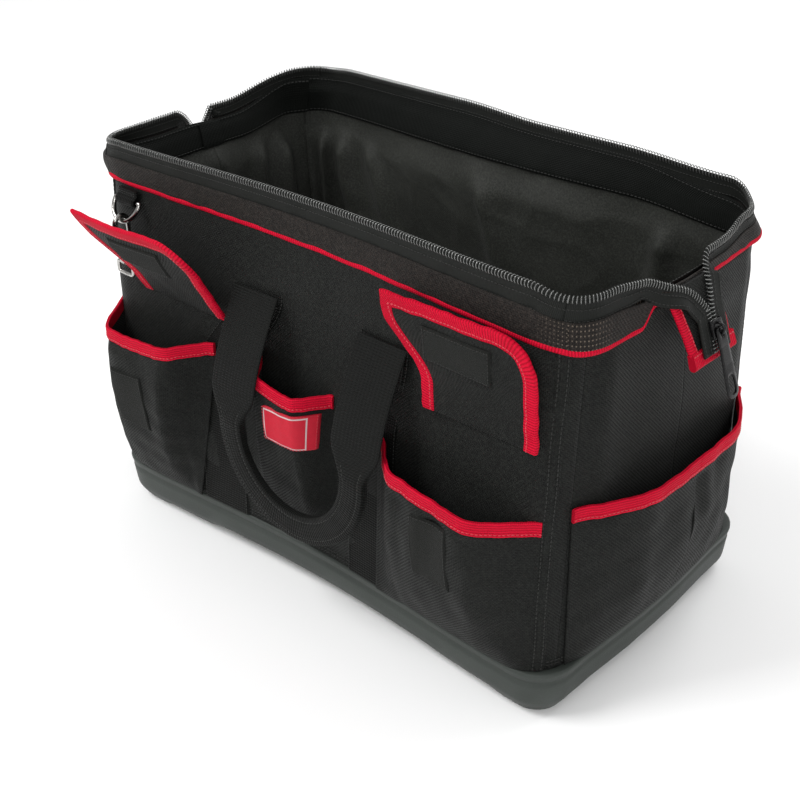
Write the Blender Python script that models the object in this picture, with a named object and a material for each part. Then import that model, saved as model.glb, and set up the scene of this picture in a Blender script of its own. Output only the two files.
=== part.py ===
"""Tool bag with a moulded tray, walls that lean in to close a zipped mouth, bound pockets with flaps,
two webbing handles and metal rings. Metres, +Z up, X along the bag, the front faces -Y, and the origin
is on the ground under the middle of the tray."""

import math

import bmesh
import bpy
from mathutils import Vector

# Driving dimensions
clearance = 0.0003
tray_length = 0.470
tray_depth = 0.270
rim_height = 0.0415
corner_radius = 0.031
piping_height = 0.299
mouth_rise = 0.031
wall_taper = 0.012
end_flare = 0.003
long_side_pinch = 0.009
end_side_bulge = 0.004
webbing_width = 0.050
webbing_thickness = 0.0016
cloth_thickness = 0.0012
binding_width = 0.011
binding_thickness = 0.0030

# Tray
tray_wall = 0.0030
tray_floor = 0.0028
rim_width = 0.0065
rim_lip = 0.0040
foot_inset = 0.0114
foot_drop = 0.0045
foot_step = 0.0020
foot_width = 0.0150
foot_length = 0.058
step_length = 0.050
lower_edge_height = 0.0120
board_thickness = 0.0030

# Walls
wall_inset = 0.0015
stiffener_thickness = 0.0020
lining_thickness = 0.0010
end_padding = 0.0030
corner_step = 0.0055
wall_corner_angle = math.radians(70)
mouth_corner_angle = math.radians(36)
mouth_corner_gap_angle = math.radians(3)
piping_radius = 0.0025
zip_tape_height = 0.0120
mouth_panel_thickness = 0.0016
coil_radius = 0.0023
mouth_dip = 0.0050

# Zip ends
tail_spread = 0.0560
tail_curve = 0.0240
tail_lift = 0.0100
tail_turn_share = 0.65
coil_mesh_share = 0.85
tail_start_share = 0.36
right_tail_share = 0.92
left_tail_share = 1.36
tab_half_width = 0.0270
tab_top_half_width = 0.0400
tab_rise = 0.0045
tab_foot_height = 0.2515
tab_reach = 0.0175
tab_thickness = 0.0028
slider_length = 0.0130
slider_wall = 0.0012
slider_share = 0.63
arch_half_length = 0.0040
arch_height = 0.0044
arch_wire = 0.0009
arch_sink = 0.0002
pull_length = 0.0500
pull_width = 0.0140
pull_top_width = 0.0105
pull_thickness = 0.0015
pull_bar = 0.0018
pull_eye_length = 0.0052
pull_eye_width = 0.0038
pull_hole_length = 0.0135
pull_hole_width = 0.0080
pull_hole_rim = 0.0028
pull_taper_share = 0.70
pull_shoulder_share = 0.86
pull_tip_share = 0.50
hole_shares = (-0.50, -0.25, 0.25, 0.50)
hole_end_share = 0.50

# Pockets
pocket_gap = 0.0009
side_pocket_bulge = 0.0290
centre_pocket_bulge = 0.0240
end_pocket_bulge = 0.0200
back_pocket_bulge = 0.0150
left_pocket_left = -0.2240
left_pocket_right_top = -0.0990
left_pocket_right_low = -0.1220
side_pocket_mouth = 0.1900
right_pocket_mouth = 0.1760
right_pocket_left = 0.0730
right_pocket_right = 0.2170
centre_pocket_left = -0.0620
centre_pocket_right = 0.0340
centre_pocket_low = 0.0560
centre_pocket_mouth = 0.1960
centre_pocket_top_narrowing = 0.0180
pouch_round_share = 0.96
end_pocket_half = 0.1080
end_pocket_mouth = 0.1720
end_pocket_sag = 0.0100
mouth_sag = 0.0050
pocket_side_share = 0.28
pocket_fullness = 0.80
back_pocket_half = 0.1850
back_pocket_mouth = 0.1750
loop_patch_width = 0.0340
loop_patch_height = 0.0520
patch_thickness = 0.0012
left_patch_x = -0.1720
right_patch_x = 0.1480
patch_top = 0.1520
label_width = 0.0430
label_height = 0.0290
label_x = -0.0110
label_z = 0.1580

# Flaps
flap_width = 0.1280
flap_height = 0.0800
flap_thickness = 0.0026
flap_hinge_drop = 0.0830
flap_notch = 0.0320
flap_sweep_top_share = 0.85
flap_sweep_share = 0.60
flap_corner = 0.0300
flap_binding_thickness = 0.0042
left_flap_x = -0.1440
right_flap_x = 0.1500
left_flap_lean = math.radians(30)
right_flap_lean = math.radians(4)
hook_patch_width = 0.0580
hook_patch_height = 0.0260
hook_patch_top_share = 0.80

# Straps and handles
left_strap_x = -0.0950
right_strap_x = 0.0640
fold_drop = 0.0510
strap_lean_share = 0.60
strap_margin = 0.0040
handle_left_x = -0.0500
handle_right_x = 0.0760
handle_drop = 0.0980
grip_depth = 0.0640
front_handle_outreach = 0.0330
back_handle_outreach = 0.0380
handle_strip_width = 0.0460
grip_width = 0.0230
grip_thickness = 0.0070
grip_start_share = 0.72
grip_flat_share = 0.75
grip_edge_share = 0.40

# Rings and hook
ring_wire = 0.0018
ring_inner_width = 0.0260
ring_depth = 0.0150
ring_x = -0.1900
ring_drop = 0.0110
ring_loop_width = 0.0230
front_ring_lean = math.radians(30)
hook_wire = 0.0020
eye_wire = 0.0016
gate_wire = 0.0016
hook_inner_width = 0.0090
hook_inner_length = 0.0160
hook_gate_share = 0.55
barrel_radius = 0.0042
barrel_length = 0.0130
barrel_end_share = 0.70
eye_width = 0.0180
eye_height = 0.0094
play = 0.0005


def made_material(name, colour, roughness, metallic=0.0):
    material = bpy.data.materials.new(name)
    material.use_nodes = True
    shader = material.node_tree.nodes["Principled BSDF"]
    shader.inputs["Base Color"].default_value = (*colour, 1.0)
    shader.inputs["Roughness"].default_value = roughness
    shader.inputs["Metallic"].default_value = metallic
    return material


def start_clean():
    for thing in list(bpy.data.objects):
        bpy.data.objects.remove(thing, do_unlink=True)


start_clean()
finishes = {
    "tray_plastic": made_material("tray_plastic", (0.085, 0.098, 0.090), 0.55),
    "board": made_material("board", (0.020, 0.020, 0.020), 0.80),
    "black_cloth": made_material("black_cloth", (0.012, 0.013, 0.012), 0.85),
    "lining_cloth": made_material("lining_cloth", (0.010, 0.010, 0.010), 0.70),
    "mouth_cloth": made_material("mouth_cloth", (0.030, 0.024, 0.018), 0.85),
    "red_tape": made_material("red_tape", (0.60, 0.008, 0.030), 0.65),
    "zip_coil": made_material("zip_coil", (0.040, 0.042, 0.042), 0.45),
    "webbing": made_material("webbing", (0.010, 0.010, 0.010), 0.75),
    "touch_tape": made_material("touch_tape", (0.008, 0.008, 0.008), 0.95),
    "label_red": made_material("label_red", (0.58, 0.010, 0.035), 0.60),
    "nickel": made_material("nickel", (0.62, 0.61, 0.58), 0.25, 1.0),
    "black_metal": made_material("black_metal", (0.015, 0.015, 0.015), 0.35, 0.6),
}


# Plan of the walls

wall_half_length = tray_length / 2 - wall_inset
wall_half_depth = tray_depth / 2 - wall_inset
wall_foot = rim_height + clearance
zip_height = piping_height + mouth_rise
shell_top = piping_height - piping_radius - clearance
flap_hinge_height = piping_height - flap_hinge_drop
fold_height = piping_height - fold_drop
panel_foot = piping_height + piping_radius + clearance
panel_top = zip_height - 2 * coil_radius - zip_tape_height


def rise_share(z):
    """How far up the walls a height is: 0 at the tray's rim and 1 at the piping."""
    return (z - rim_height) / (piping_height - rim_height)


def lean_at(z):
    """The long walls lean in a little on their way up."""
    return wall_taper * rise_share(z)


def flare_at(z):
    """The ends stand out a little on their way up, because the open mouth is longer than the tray."""
    return end_flare * rise_share(z)


def pinch_at(x, straight):
    """The long sides draw in towards their middle, by a curve that starts and ends level."""
    share = min(1.0, abs(x) / straight)
    return long_side_pinch * (1 - share**2) ** 2


def front_face(x, z, step=0.0):
    """The y of the front wall's outer face: a pinched straight, then the rounded corner."""
    straight = wall_half_length + flare_at(z) - step - corner_radius
    face = -(wall_half_depth - lean_at(z)) + pinch_at(x, straight)
    past = min(abs(x) - straight, corner_radius)
    if past > 0:
        face += corner_radius - math.sqrt(corner_radius**2 - past**2)
    return face


def end_face(y, z):
    """The x of the right end's outer face: it bellies out in the middle of its width."""
    half = wall_half_depth - corner_radius
    share = min(1.0, abs(y) / half)
    return wall_half_length + flare_at(z) + end_side_bulge * (1 - share**2) ** 2


def front_line(z, inset, angle, step, straight_parts=14, corner_parts=4):
    """Points along the front wall at one height, from the left corner round to the right one."""
    straight = wall_half_length + flare_at(z) - step - corner_radius
    centre_y = -(wall_half_depth - lean_at(z)) + corner_radius
    radius = corner_radius - inset
    line = []
    for part in range(corner_parts):
        turn = angle * (1 - part / corner_parts)
        line.append((-straight - radius * math.sin(turn), centre_y - radius * math.cos(turn)))
    for part in range(straight_parts + 1):
        x = straight * (2 * part / straight_parts - 1)
        line.append((x, centre_y - radius + pinch_at(x, straight)))
    for part in range(1, corner_parts + 1):
        turn = angle * part / corner_parts
        line.append((straight + radius * math.sin(turn), centre_y - radius * math.cos(turn)))
    return [Vector((x, y, z)) for x, y in line]


def end_line(z, inset, angle, straight_parts=8, corner_parts=3):
    """Points along the right end at one height, with the part of each corner that the end keeps."""
    straight = wall_half_depth - corner_radius
    radius = corner_radius - inset
    centre_x = wall_half_length + flare_at(z) - corner_radius
    centre_y = straight - lean_at(z)
    line = []
    for part in range(corner_parts):
        turn = angle + (math.pi / 2 - angle) * part / corner_parts
        line.append((centre_x + radius * math.sin(turn), -centre_y - radius * math.cos(turn)))
    for part in range(straight_parts + 1):
        y = centre_y * (2 * part / straight_parts - 1)
        line.append((end_face(y, z) - inset, y))
    for part in range(1, corner_parts + 1):
        turn = math.pi / 2 - (math.pi / 2 - angle) * part / corner_parts
        line.append((centre_x + radius * math.sin(turn), centre_y + radius * math.cos(turn)))
    return [Vector((x, y, z)) for x, y in line]


# Making solids

wall_pivot_y = -wall_half_depth + corner_radius * (1 - math.cos(wall_corner_angle))
pivots = {"base": Vector((0, 0, 0))}


def add_body(name, pivot, parent):
    """An empty on the joint's axis that carries the body's pieces."""
    empty = bpy.data.objects.new(name + "_pivot", None)
    bpy.context.collection.objects.link(empty)
    empty.parent = bpy.data.objects.get(parent + "_pivot")
    empty.location = pivot - pivots.get(parent, Vector((0, 0, 0)))
    pivots[name] = pivot


def turned(point, side):
    """The same place on the other side of the bag: half a turn about the upright axis."""
    return Vector((point.x * side, point.y * side, point.z))


def add_solid(name, mesh, finish, body):
    mesh.materials.append(finishes[finish])
    piece = bpy.data.objects.new(name, mesh)
    bpy.context.collection.objects.link(piece)
    piece.parent = bpy.data.objects[body + "_pivot"]
    return piece


def loft(name, sections, finish, body="base", closed=False, side=1):
    """A solid carried through like sections. Each section is a closed ring with an even count of points,
    whose second half runs back along its first, so that an open end is closed by a strip of quads."""
    pivot = pivots[body]
    work = bmesh.new()
    rings = [[work.verts.new(turned(point, side) - pivot) for point in ring] for ring in sections]
    count = len(rings[0])
    pairs = list(zip(rings, rings[1:])) + ([(rings[-1], rings[0])] if closed else [])
    for ring, following in pairs:
        for spot in range(count):
            after = (spot + 1) % count
            work.faces.new((ring[spot], ring[after], following[after], following[spot]))
    if not closed:
        for ring in (rings[0], rings[-1]):
            for spot in range(count // 2 - 1):
                work.faces.new((ring[spot], ring[spot + 1], ring[-2 - spot], ring[-1 - spot]))
    bmesh.ops.recalc_face_normals(work, faces=work.faces)
    mesh = bpy.data.meshes.new(name)
    work.to_mesh(mesh)
    work.free()
    mesh.shade_smooth()
    mesh.set_sharp_from_angle(angle=math.radians(40))
    return add_solid(name, mesh, finish, body)


def between(low, high, share):
    return low + (high - low) * share


def eased(share):
    """A smooth step from 0 to 1 that starts and ends level."""
    share = max(0.0, min(1.0, share))
    return share * share * (3 - 2 * share)


def round_section(centre, across, up, radius, sides):
    """Points of a circle in the plane of two directions."""
    turns = [2 * math.pi * (part + 0.5) / sides for part in range(sides)]
    return [centre + radius * (math.cos(turn) * across + math.sin(turn) * up) for turn in turns]


def wire(name, path, radius, finish, body, across, sides=8, closed=False, side=1):
    """A round wire along a path that stays square to one direction."""
    sections = []
    last = len(path) - 1
    for spot, point in enumerate(path):
        before = path[spot - 1] if spot or closed else path[0]
        after = path[(spot + 1) % len(path)] if spot < last or closed else path[last]
        along = (after - before).normalized()
        sections.append(round_section(point, across, along.cross(across), radius, sides))
    return loft(name, sections, finish, body, closed, side)


def joined(name, pieces):
    """One solid from overlapping ones: the first stays, and the others are cutters that are united to it."""
    keep = pieces[0]
    for other in pieces[1:]:
        union = keep.modifiers.new("join_" + other.name, "BOOLEAN")
        union.operation = "UNION"
        union.solver = "EXACT"
        union.object = other
        other.hide_render = True
        other.display_type = "WIRE"
    keep.name = name
    return keep


def cut(piece, cutter):
    away = piece.modifiers.new("cut_" + cutter.name, "BOOLEAN")
    away.operation = "DIFFERENCE"
    away.solver = "EXACT"
    away.object = cutter
    cutter.hide_render = True
    cutter.display_type = "WIRE"


# Tray and board


def tray_ring(inset, height_at, straight_parts=14, end_parts=8, corner_parts=5):
    """One level ring round the tray. The long sides are pinched and the ends belly out a little."""
    half_x = tray_length / 2 - inset
    half_y = tray_depth / 2 - inset
    radius = corner_radius - min(inset, corner_radius / 2)
    straight_x, straight_y = half_x - radius, half_y - radius
    spots = []
    for side in (1, -1):
        for part in range(straight_parts):
            x = straight_x * (2 * part / straight_parts - 1)
            spots.append((side * x, side * (-half_y + pinch_at(x, straight_x)), abs(x) / straight_x))
        for part in range(corner_parts):
            turn = math.pi / 2 * part / corner_parts
            x = straight_x + radius * math.sin(turn)
            spots.append((side * x, side * (-straight_y - radius * math.cos(turn)), 1.0))
        for part in range(end_parts):
            y = straight_y * (2 * part / end_parts - 1)
            belly = end_side_bulge * (1 - (y / straight_y) ** 2) ** 2
            spots.append((side * (half_x + belly), side * y, abs(y) / straight_y))
        for part in range(corner_parts):
            turn = math.pi / 2 * (1 - part / corner_parts)
            x = straight_x + radius * math.sin(turn)
            spots.append((side * x, side * (straight_y + radius * math.cos(turn)), 1.0))
    return [Vector((x, y, height_at(x, y))) for x, y, _ in dict.fromkeys(spots)]


def foot_height(x, y):
    """The underside: feet at the corners, a step beside each, and a raised stretch in the middle."""
    along = tray_length / 2 - abs(x)
    inward = tray_depth / 2 - abs(y)
    near = max(along, inward)
    if near < foot_length:
        return 0.0
    if near < foot_length + step_length:
        return foot_step
    return foot_drop


def level(height):
    return lambda x, y: height


def make_tray():
    underside = foot_drop
    floor_top = foot_drop + tray_floor
    rings = [
        tray_ring(foot_inset + foot_width + tray_wall, level(underside)),
        tray_ring(foot_inset + foot_width, foot_height),
        tray_ring(foot_inset, foot_height),
        tray_ring(foot_inset / 3, level(lower_edge_height)),
        tray_ring(rim_lip / 4, level(rim_height - rim_lip)),
        tray_ring(0, level(rim_height - rim_lip / 2)),
        tray_ring(0, level(rim_height)),
        tray_ring(rim_width, level(rim_height)),
        tray_ring(rim_width, level(rim_height - tray_wall)),
        tray_ring(foot_inset / 3 + tray_wall, level(rim_height - 2 * tray_wall)),
        tray_ring(foot_inset / 3 + tray_wall, level(lower_edge_height)),
        tray_ring(foot_inset + tray_wall, level(floor_top)),
    ]
    pan("base_tray", rings, "tray_plastic")


def pan(name, rings, finish):
    """A solid through closed rings whose first and last are filled flat."""
    work = bmesh.new()
    loops = [[work.verts.new(point) for point in ring] for ring in rings]
    count = len(loops[0])
    for ring, following in zip(loops, loops[1:]):
        for spot in range(count):
            after = (spot + 1) % count
            work.faces.new((ring[spot], ring[after], following[after], following[spot]))
    for ring in (loops[0], loops[-1]):
        work.faces.new(ring)
    bmesh.ops.recalc_face_normals(work, faces=work.faces)
    mesh = bpy.data.meshes.new(name)
    work.to_mesh(mesh)
    work.free()
    return add_solid(name, mesh, finish, "base")


def make_board():
    low = foot_drop + tray_floor + clearance
    inset = foot_inset + tray_wall + 2 * clearance
    rings = [tray_ring(inset, level(low)), tray_ring(inset, level(low + board_thickness))]
    pan("bottom_board", rings, "board")


# Walls


def layer(name, lines, finish, body, side):
    """A sheet between four lines of points: outer low, outer high, inner high and inner low."""
    loft(name, [list(ring) for ring in zip(*lines)], finish, body, side=side)


def make_front_layer(name, outer, thickness, low, high, finish, body, side, angle, step):
    lines = [
        front_line(low, outer, angle, step),
        front_line(high, outer, angle, step),
        front_line(high, outer + thickness, angle, step),
        front_line(low, outer + thickness, angle, step),
    ]
    layer(name, lines, finish, body, side)


def make_end_layer(name, outer, thickness, low, high, finish, side):
    half = wall_half_depth - corner_radius * (1 - math.cos(wall_corner_angle))
    spots = [half * (2 * part / 12 - 1) for part in range(13)]

    def line(z, inset):
        return [Vector((end_face(y, z) - inset, y, z)) for y in spots]

    inner = outer + thickness
    lines = [line(low, outer), line(high, outer), line(high, inner), line(low, inner)]
    layer(name, lines, finish, "base", side)


def make_end_panel(name, side):
    """The band over an end's piping. Its top dips in the middle, where the zip leaves the mouth."""
    angle = mouth_corner_angle + mouth_corner_gap_angle

    def dipped(inset):
        line = end_line(panel_top, inset, angle, straight_parts=16)
        dips = [mouth_dip * eased((tail_spread + mouth_dip - abs(spot.y)) / mouth_dip) for spot in line]
        return [spot - Vector((0, 0, dip)) for spot, dip in zip(line, dips)]

    low_outer = end_line(panel_foot, 0, angle, straight_parts=16)
    low_inner = end_line(panel_foot, mouth_panel_thickness, angle, straight_parts=16)
    lines = [low_outer, dipped(0), dipped(mouth_panel_thickness), low_inner]
    layer(name, lines, "mouth_cloth", "base", side)


def beaded(name, line_at, radius, height, finish, body, side, tape=0.0):
    """A round bead carried along a line of the wall, with a flat tape hanging from it if it has one."""
    outer = mouth_panel_thickness / 2
    turns = [math.radians(150 - 60 * part) for part in range(6)]
    bead = [(math.sin(turn), math.cos(turn)) for turn in turns]
    if tape:
        centre = height - radius
        shape = [(outer - radius * across, centre + radius * up) for across, up in bead]
        shape = [(0.0, centre - radius - tape), *shape, (mouth_panel_thickness, centre - radius - tape)]
    else:
        shape = [(outer - radius * across, height + radius * up) for across, up in bead]
    lines = [line_at(z, inset) for inset, z in shape]
    loft(name, [list(ring) for ring in zip(*lines)], finish, body, side=side)


def make_long_wall(word, side):
    body = word + "_wall"
    inner = cloth_thickness + clearance
    make_front_layer(word + "_shell", 0, cloth_thickness, wall_foot, shell_top, "black_cloth", body, side,
                     wall_corner_angle, corner_step)
    make_front_layer(word + "_stiffener", inner, stiffener_thickness, wall_foot, shell_top, "board", body,
                     side, wall_corner_angle, corner_step)
    make_front_layer(word + "_lining", inner + stiffener_thickness + clearance, lining_thickness, wall_foot,
                     shell_top, "lining_cloth", body, side, wall_corner_angle, corner_step)

    def mouth_line(z, inset):
        return front_line(z, inset, mouth_corner_angle, 0.0)

    beaded(word + "_piping", mouth_line, piping_radius, piping_height, "red_tape", body, side)
    make_front_layer(word + "_mouth_panel", 0, mouth_panel_thickness, panel_foot, panel_top, "mouth_cloth",
                     body, side, mouth_corner_angle, 0.0)
    beaded(word + "_zip", mouth_line, coil_radius, zip_height, "zip_coil", body, side,
           zip_tape_height - clearance)


def make_end_wall(word, side):
    inner = cloth_thickness + clearance
    make_end_layer(word + "_end_shell", 0, cloth_thickness, wall_foot, shell_top, "black_cloth", side)
    make_end_layer(word + "_end_lining", inner, end_padding, wall_foot, shell_top, "lining_cloth", side)

    def mouth_line(z, inset):
        return end_line(z, inset, mouth_corner_angle + mouth_corner_gap_angle)

    beaded(word + "_end_piping", mouth_line, piping_radius, piping_height, "red_tape", "base", side)
    make_end_panel(word + "_end_mouth_panel", side)


# Pockets


def pocket_swell(across, up, bulge):
    """How far a pocket stands off its wall: nothing at its sides and foot, most at its mouth."""
    side = eased(min(across, 1 - across) / pocket_side_share)
    return bulge * side * (1 - (1 - up) ** 2) ** pocket_fullness


def strap_rise(x):
    """Cloth that is sewn over a strap rises by the strap's thickness."""
    past = min(abs(x - left_strap_x), abs(x - right_strap_x)) - webbing_width / 2 - strap_margin
    return (webbing_thickness + clearance) * eased(1 - past / (2 * strap_margin))


def make_pocket(name, body, side, outline, face, bulge, mouth_parts=14, rise_parts=6):
    """A bulged sheet on a wall with a bound mouth. outline gives left, right and the mouth's height, and
    face gives a place on the wall from a run along it, a height and a distance off it."""
    sheet, tape = [], []
    for part in range(mouth_parts + 1):
        share = part / mouth_parts
        outer, inner = [], []
        for step in range(rise_parts + 1):
            up = step / rise_parts
            run, z = outline(share, up)
            off = pocket_gap + pocket_swell(share, up, bulge)
            inner.append(face(run, z, off))
            outer.append(face(run, z, off + cloth_thickness))
        sheet.append(outer + inner[::-1])
        run, z = outline(share, 1.0)
        off = pocket_gap + pocket_swell(share, 1.0, bulge)
        low, high = z + clearance, z + binding_width
        tape.append([face(run, low, off + binding_thickness), face(run, high, off + binding_thickness),
                     face(run, high, off), face(run, low, off)])
    loft(name, sheet, "black_cloth", body, side=side)
    loft(name + "_binding", tape, "red_tape", body, side=side)


def off_shell(x, z, off):
    """A place off the front wall's shell, which steps in at the corners."""
    return Vector((x, front_face(x, z, corner_step) - off, z))


def on_front(x, z, off):
    """A place off the front wall for a pocket, which is sewn over the straps."""
    return off_shell(x, z, off + strap_rise(x))


def over_straps(x, z, off):
    """A place off a long wall for a pocket that lies right across both straps."""
    return off_shell(x, z, off + webbing_thickness + clearance)


def on_end(y, z, off):
    return Vector((end_face(y, z) + off, y, z))


def bag_outline(left_top, left_low, right_top, right_low, foot, mouth, sag):
    """A pocket's outline: its sides run straight from foot to mouth, and its mouth sags in the middle."""

    def outline(share, up):
        left = between(left_low, left_top, up)
        right = between(right_low, right_top, up)
        rim = mouth - binding_width - sag * math.sin(math.pi * share)
        return between(left, right, share), between(foot, rim, up)

    return outline


def centre_outline(share, up):
    """The centre pocket is a pouch: it narrows a little to its mouth, and its foot is a half round."""
    middle = (centre_pocket_left + centre_pocket_right) / 2
    half = (centre_pocket_right - centre_pocket_left) / 2
    place = 2 * share - 1
    narrowing = centre_pocket_top_narrowing / 2 * up
    foot = centre_pocket_low + half * (1 - math.sqrt(max(0.0, 1 - (pouch_round_share * place) ** 2)))
    rim = centre_pocket_mouth - binding_width - mouth_sag * math.cos(math.pi / 2 * place)
    return middle + (half - narrowing) * place, between(foot, rim, up)


def make_pockets():
    foot = wall_foot + clearance
    left = bag_outline(left_pocket_left, left_pocket_left, left_pocket_right_top, left_pocket_right_low,
                       foot, side_pocket_mouth, mouth_sag)
    right = bag_outline(right_pocket_left, right_pocket_left, right_pocket_right, right_pocket_right,
                        foot, right_pocket_mouth, -mouth_sag)
    back = bag_outline(-back_pocket_half, -back_pocket_half, back_pocket_half, back_pocket_half,
                       foot, back_pocket_mouth, mouth_sag)
    end = bag_outline(-end_pocket_half, -end_pocket_half, end_pocket_half, end_pocket_half,
                      foot, end_pocket_mouth, end_pocket_sag)
    make_pocket("left_pocket", "front_wall", 1, left, on_front, side_pocket_bulge)
    make_pocket("centre_pocket", "front_wall", 1, centre_outline, on_front, centre_pocket_bulge)
    make_pocket("right_pocket", "front_wall", 1, right, on_front, side_pocket_bulge)
    make_pocket("back_pocket", "back_wall", -1, back, over_straps, back_pocket_bulge, mouth_parts=28)
    make_pocket("right_end_pocket", "base", 1, end, on_end, end_pocket_bulge)
    make_pocket("left_end_pocket", "base", -1, end, on_end, end_pocket_bulge)
    make_patch("left_loop_patch", left, side_pocket_bulge, left_patch_x, patch_top, loop_patch_width,
               loop_patch_height, "touch_tape")
    make_patch("right_loop_patch", right, side_pocket_bulge, right_patch_x, patch_top, loop_patch_width,
               loop_patch_height, "touch_tape")
    make_patch("front_label", centre_outline, centre_pocket_bulge, label_x, label_z + label_height / 2,
               label_width, label_height, "label_red")


def share_at(outline, x, z):
    """Where a place on the wall lies in a pocket's outline, as shares across and up."""
    across, up = 0.5, 0.5
    for _ in range(30):
        left, low = outline(0.0, up)[0], outline(across, 0.0)[1]
        right, high = outline(1.0, up)[0], outline(across, 1.0)[1]
        across = (x - left) / (right - left)
        up = (z - low) / (high - low)
    return across, up


def make_patch(name, outline, bulge, middle, top, width, height, finish, parts=6):
    """A thin patch that follows the face of a pocket."""
    sections = []
    for column in range(parts + 1):
        x = middle + width * (column / parts - 0.5)
        outer, inner = [], []
        for row in range(parts + 1):
            z = top - height * (1 - row / parts)
            off = 2 * pocket_gap + pocket_swell(*share_at(outline, x, z), bulge) + cloth_thickness
            inner.append(on_front(x, z, off))
            outer.append(on_front(x, z, off + patch_thickness))
        sections.append(outer + inner[::-1])
    loft(name, sections, finish, "front_wall")


# Flaps


def flap_edge(up):
    """The flap's left and right edge at a share of its height: a swept notch on the left side, and a
    round corner on the right one."""
    left = -flap_width / 2 + flap_notch * eased((flap_sweep_top_share - up) / flap_sweep_share)
    over = max(0.0, flap_height * up - (flap_height - flap_corner))
    right = flap_width / 2 - flap_corner + math.sqrt(flap_corner**2 - over**2)
    return left, right


def flap_place(pivot, lean, x, height, off):
    """A place on a leaning flap: height is measured up the flap, and off is measured out of its face."""
    y = -height * math.sin(lean) - off * math.cos(lean)
    z = height * math.cos(lean) - off * math.sin(lean)
    return pivot + Vector((x, y, z))


def make_flap(word, lean, parts=10):
    body = word + "_flap"
    pivot = pivots[body]
    tape = binding_width

    def place(x, height, off):
        return flap_place(pivot, lean, x, height, off)

    sections = []
    top = flap_height - tape - clearance
    for part in range(parts + 1):
        height = clearance + (top - clearance) * part / parts
        left, right = flap_edge(height / flap_height)
        left, right = left + tape + clearance, right - tape - clearance
        half = flap_thickness / 2
        sections.append([place(left, height, half), place(right, height, half),
                         place(right, height, -half), place(left, height, -half)])
    loft(body, sections, "black_cloth", body)
    make_flap_binding(body, place)
    make_hook_patch(body, place)


def make_flap_binding(body, place, parts=10):
    """The tape round three sides of a flap: up its left edge, along its top and down its right edge."""
    rim, inner = [], []
    top = flap_height - binding_width
    for part in range(parts):
        share = part / parts
        left = flap_edge(share)[0]
        rim.append((left, flap_height * share + clearance * (part == 0)))
        inner.append((flap_edge(share * top / flap_height)[0] + binding_width,
                      top * share + clearance * (part == 0)))
    corner_left, corner_right = flap_edge(1.0)
    inner_left = flap_edge(top / flap_height)[0] + binding_width
    inner_right = flap_edge(top / flap_height)[1] - binding_width
    for part in range(parts):
        share = part / parts
        rim.append((between(corner_left, corner_right, share), flap_height))
        inner.append((between(inner_left, inner_right, share), top))
    for part in range(parts + 1):
        share = 1 - part / parts
        rim.append((flap_edge(share)[1], flap_height * share + clearance * (part == parts)))
        inner.append((flap_edge(share * top / flap_height)[1] - binding_width,
                      top * share + clearance * (part == parts)))
    half = flap_binding_thickness / 2
    sections = [[place(*edge, half), place(*edge, -half), place(*deep, -half), place(*deep, half)]
                for edge, deep in zip(rim, inner)]
    loft(body + "_binding", sections, "red_tape", body)


def make_hook_patch(body, place):
    high = flap_height * hook_patch_top_share
    low = high - hook_patch_height
    near = flap_thickness / 2 + clearance
    far = near + patch_thickness
    sections = [[place(x, low, far), place(x, high, far), place(x, high, near), place(x, low, near)]
                for x in (-hook_patch_width / 2, hook_patch_width / 2)]
    loft(body + "_hook_patch", sections, "touch_tape", body)


# Straps and handles


def make_strap(name, body, side, x, fold_x, parts=10):
    """Webbing sewn up the wall from the rim. Its free top leans over towards the handle's fold."""
    sections = []
    foot = wall_foot + clearance
    for part in range(parts + 1):
        share = part / parts
        z = between(foot, fold_height, share)
        middle = between(x, fold_x, eased((share - strap_lean_share) / (1 - strap_lean_share)))
        left, right = middle - webbing_width / 2, middle + webbing_width / 2
        spots = [between(left, right, step / 4) for step in range(5)]
        near = [off_shell(spot, z, clearance) for spot in spots]
        far = [off_shell(spot, z, clearance + webbing_thickness) for spot in spots]
        sections.append(far + near[::-1])
    loft(name, sections, "webbing", body, side=side)


def handle_route(parts=14):
    """Middle line of the handle: down from the left fold, round the grip, and up to the right fold."""
    middle = (handle_left_x + handle_right_x) / 2
    half = (handle_right_x - handle_left_x) / 2
    low = fold_height - handle_drop
    places = [(handle_left_x, between(fold_height, low, part / 6)) for part in range(6)]
    for part in range(parts + 1):
        turn = math.pi * part / parts
        places.append((middle - half * math.cos(turn), low - grip_depth * math.sin(turn)))
    places += [(handle_right_x, between(low, fold_height, (part + 1) / 6)) for part in range(6)]
    return places


def handle_depth(z, outreach):
    """How far the handle stands off its fold: it leaves the wall in a curve and then hangs level."""
    return outreach * math.sin(math.pi / 2 * min(1.0, (fold_height - z) / handle_drop))


def make_handle(word, side, outreach):
    body = word + "_handle"
    pivot = turned(pivots[body], side)
    route = handle_route()
    sections = []
    for spot, (x, z) in enumerate(route):
        before, after = route[max(0, spot - 1)], route[min(len(route) - 1, spot + 1)]
        along = Vector((after[0] - before[0], 0, after[1] - before[1])).normalized()
        across = along.cross(Vector((0, -1, 0)))
        rolled = eased(((fold_height - z) / handle_drop - grip_start_share) / (1 - grip_start_share))
        half = between(handle_strip_width, grip_width, rolled) / 2
        thick = between(webbing_thickness, grip_thickness, rolled) / 2
        centre = Vector((x, pivot.y - handle_depth(z, outreach), z))
        out, edge = Vector((0, -thick, 0)), Vector((0, -thick * grip_edge_share, 0))
        reach, flat = half * across, half * grip_flat_share * across
        sections.append([centre - reach + edge, centre - flat + out, centre + flat + out,
                         centre + reach + edge, centre + reach - edge, centre + flat - out,
                         centre - flat - out, centre - reach - edge])
    loft(body, sections, "webbing", body, side=side)


# Rings and hook


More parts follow.
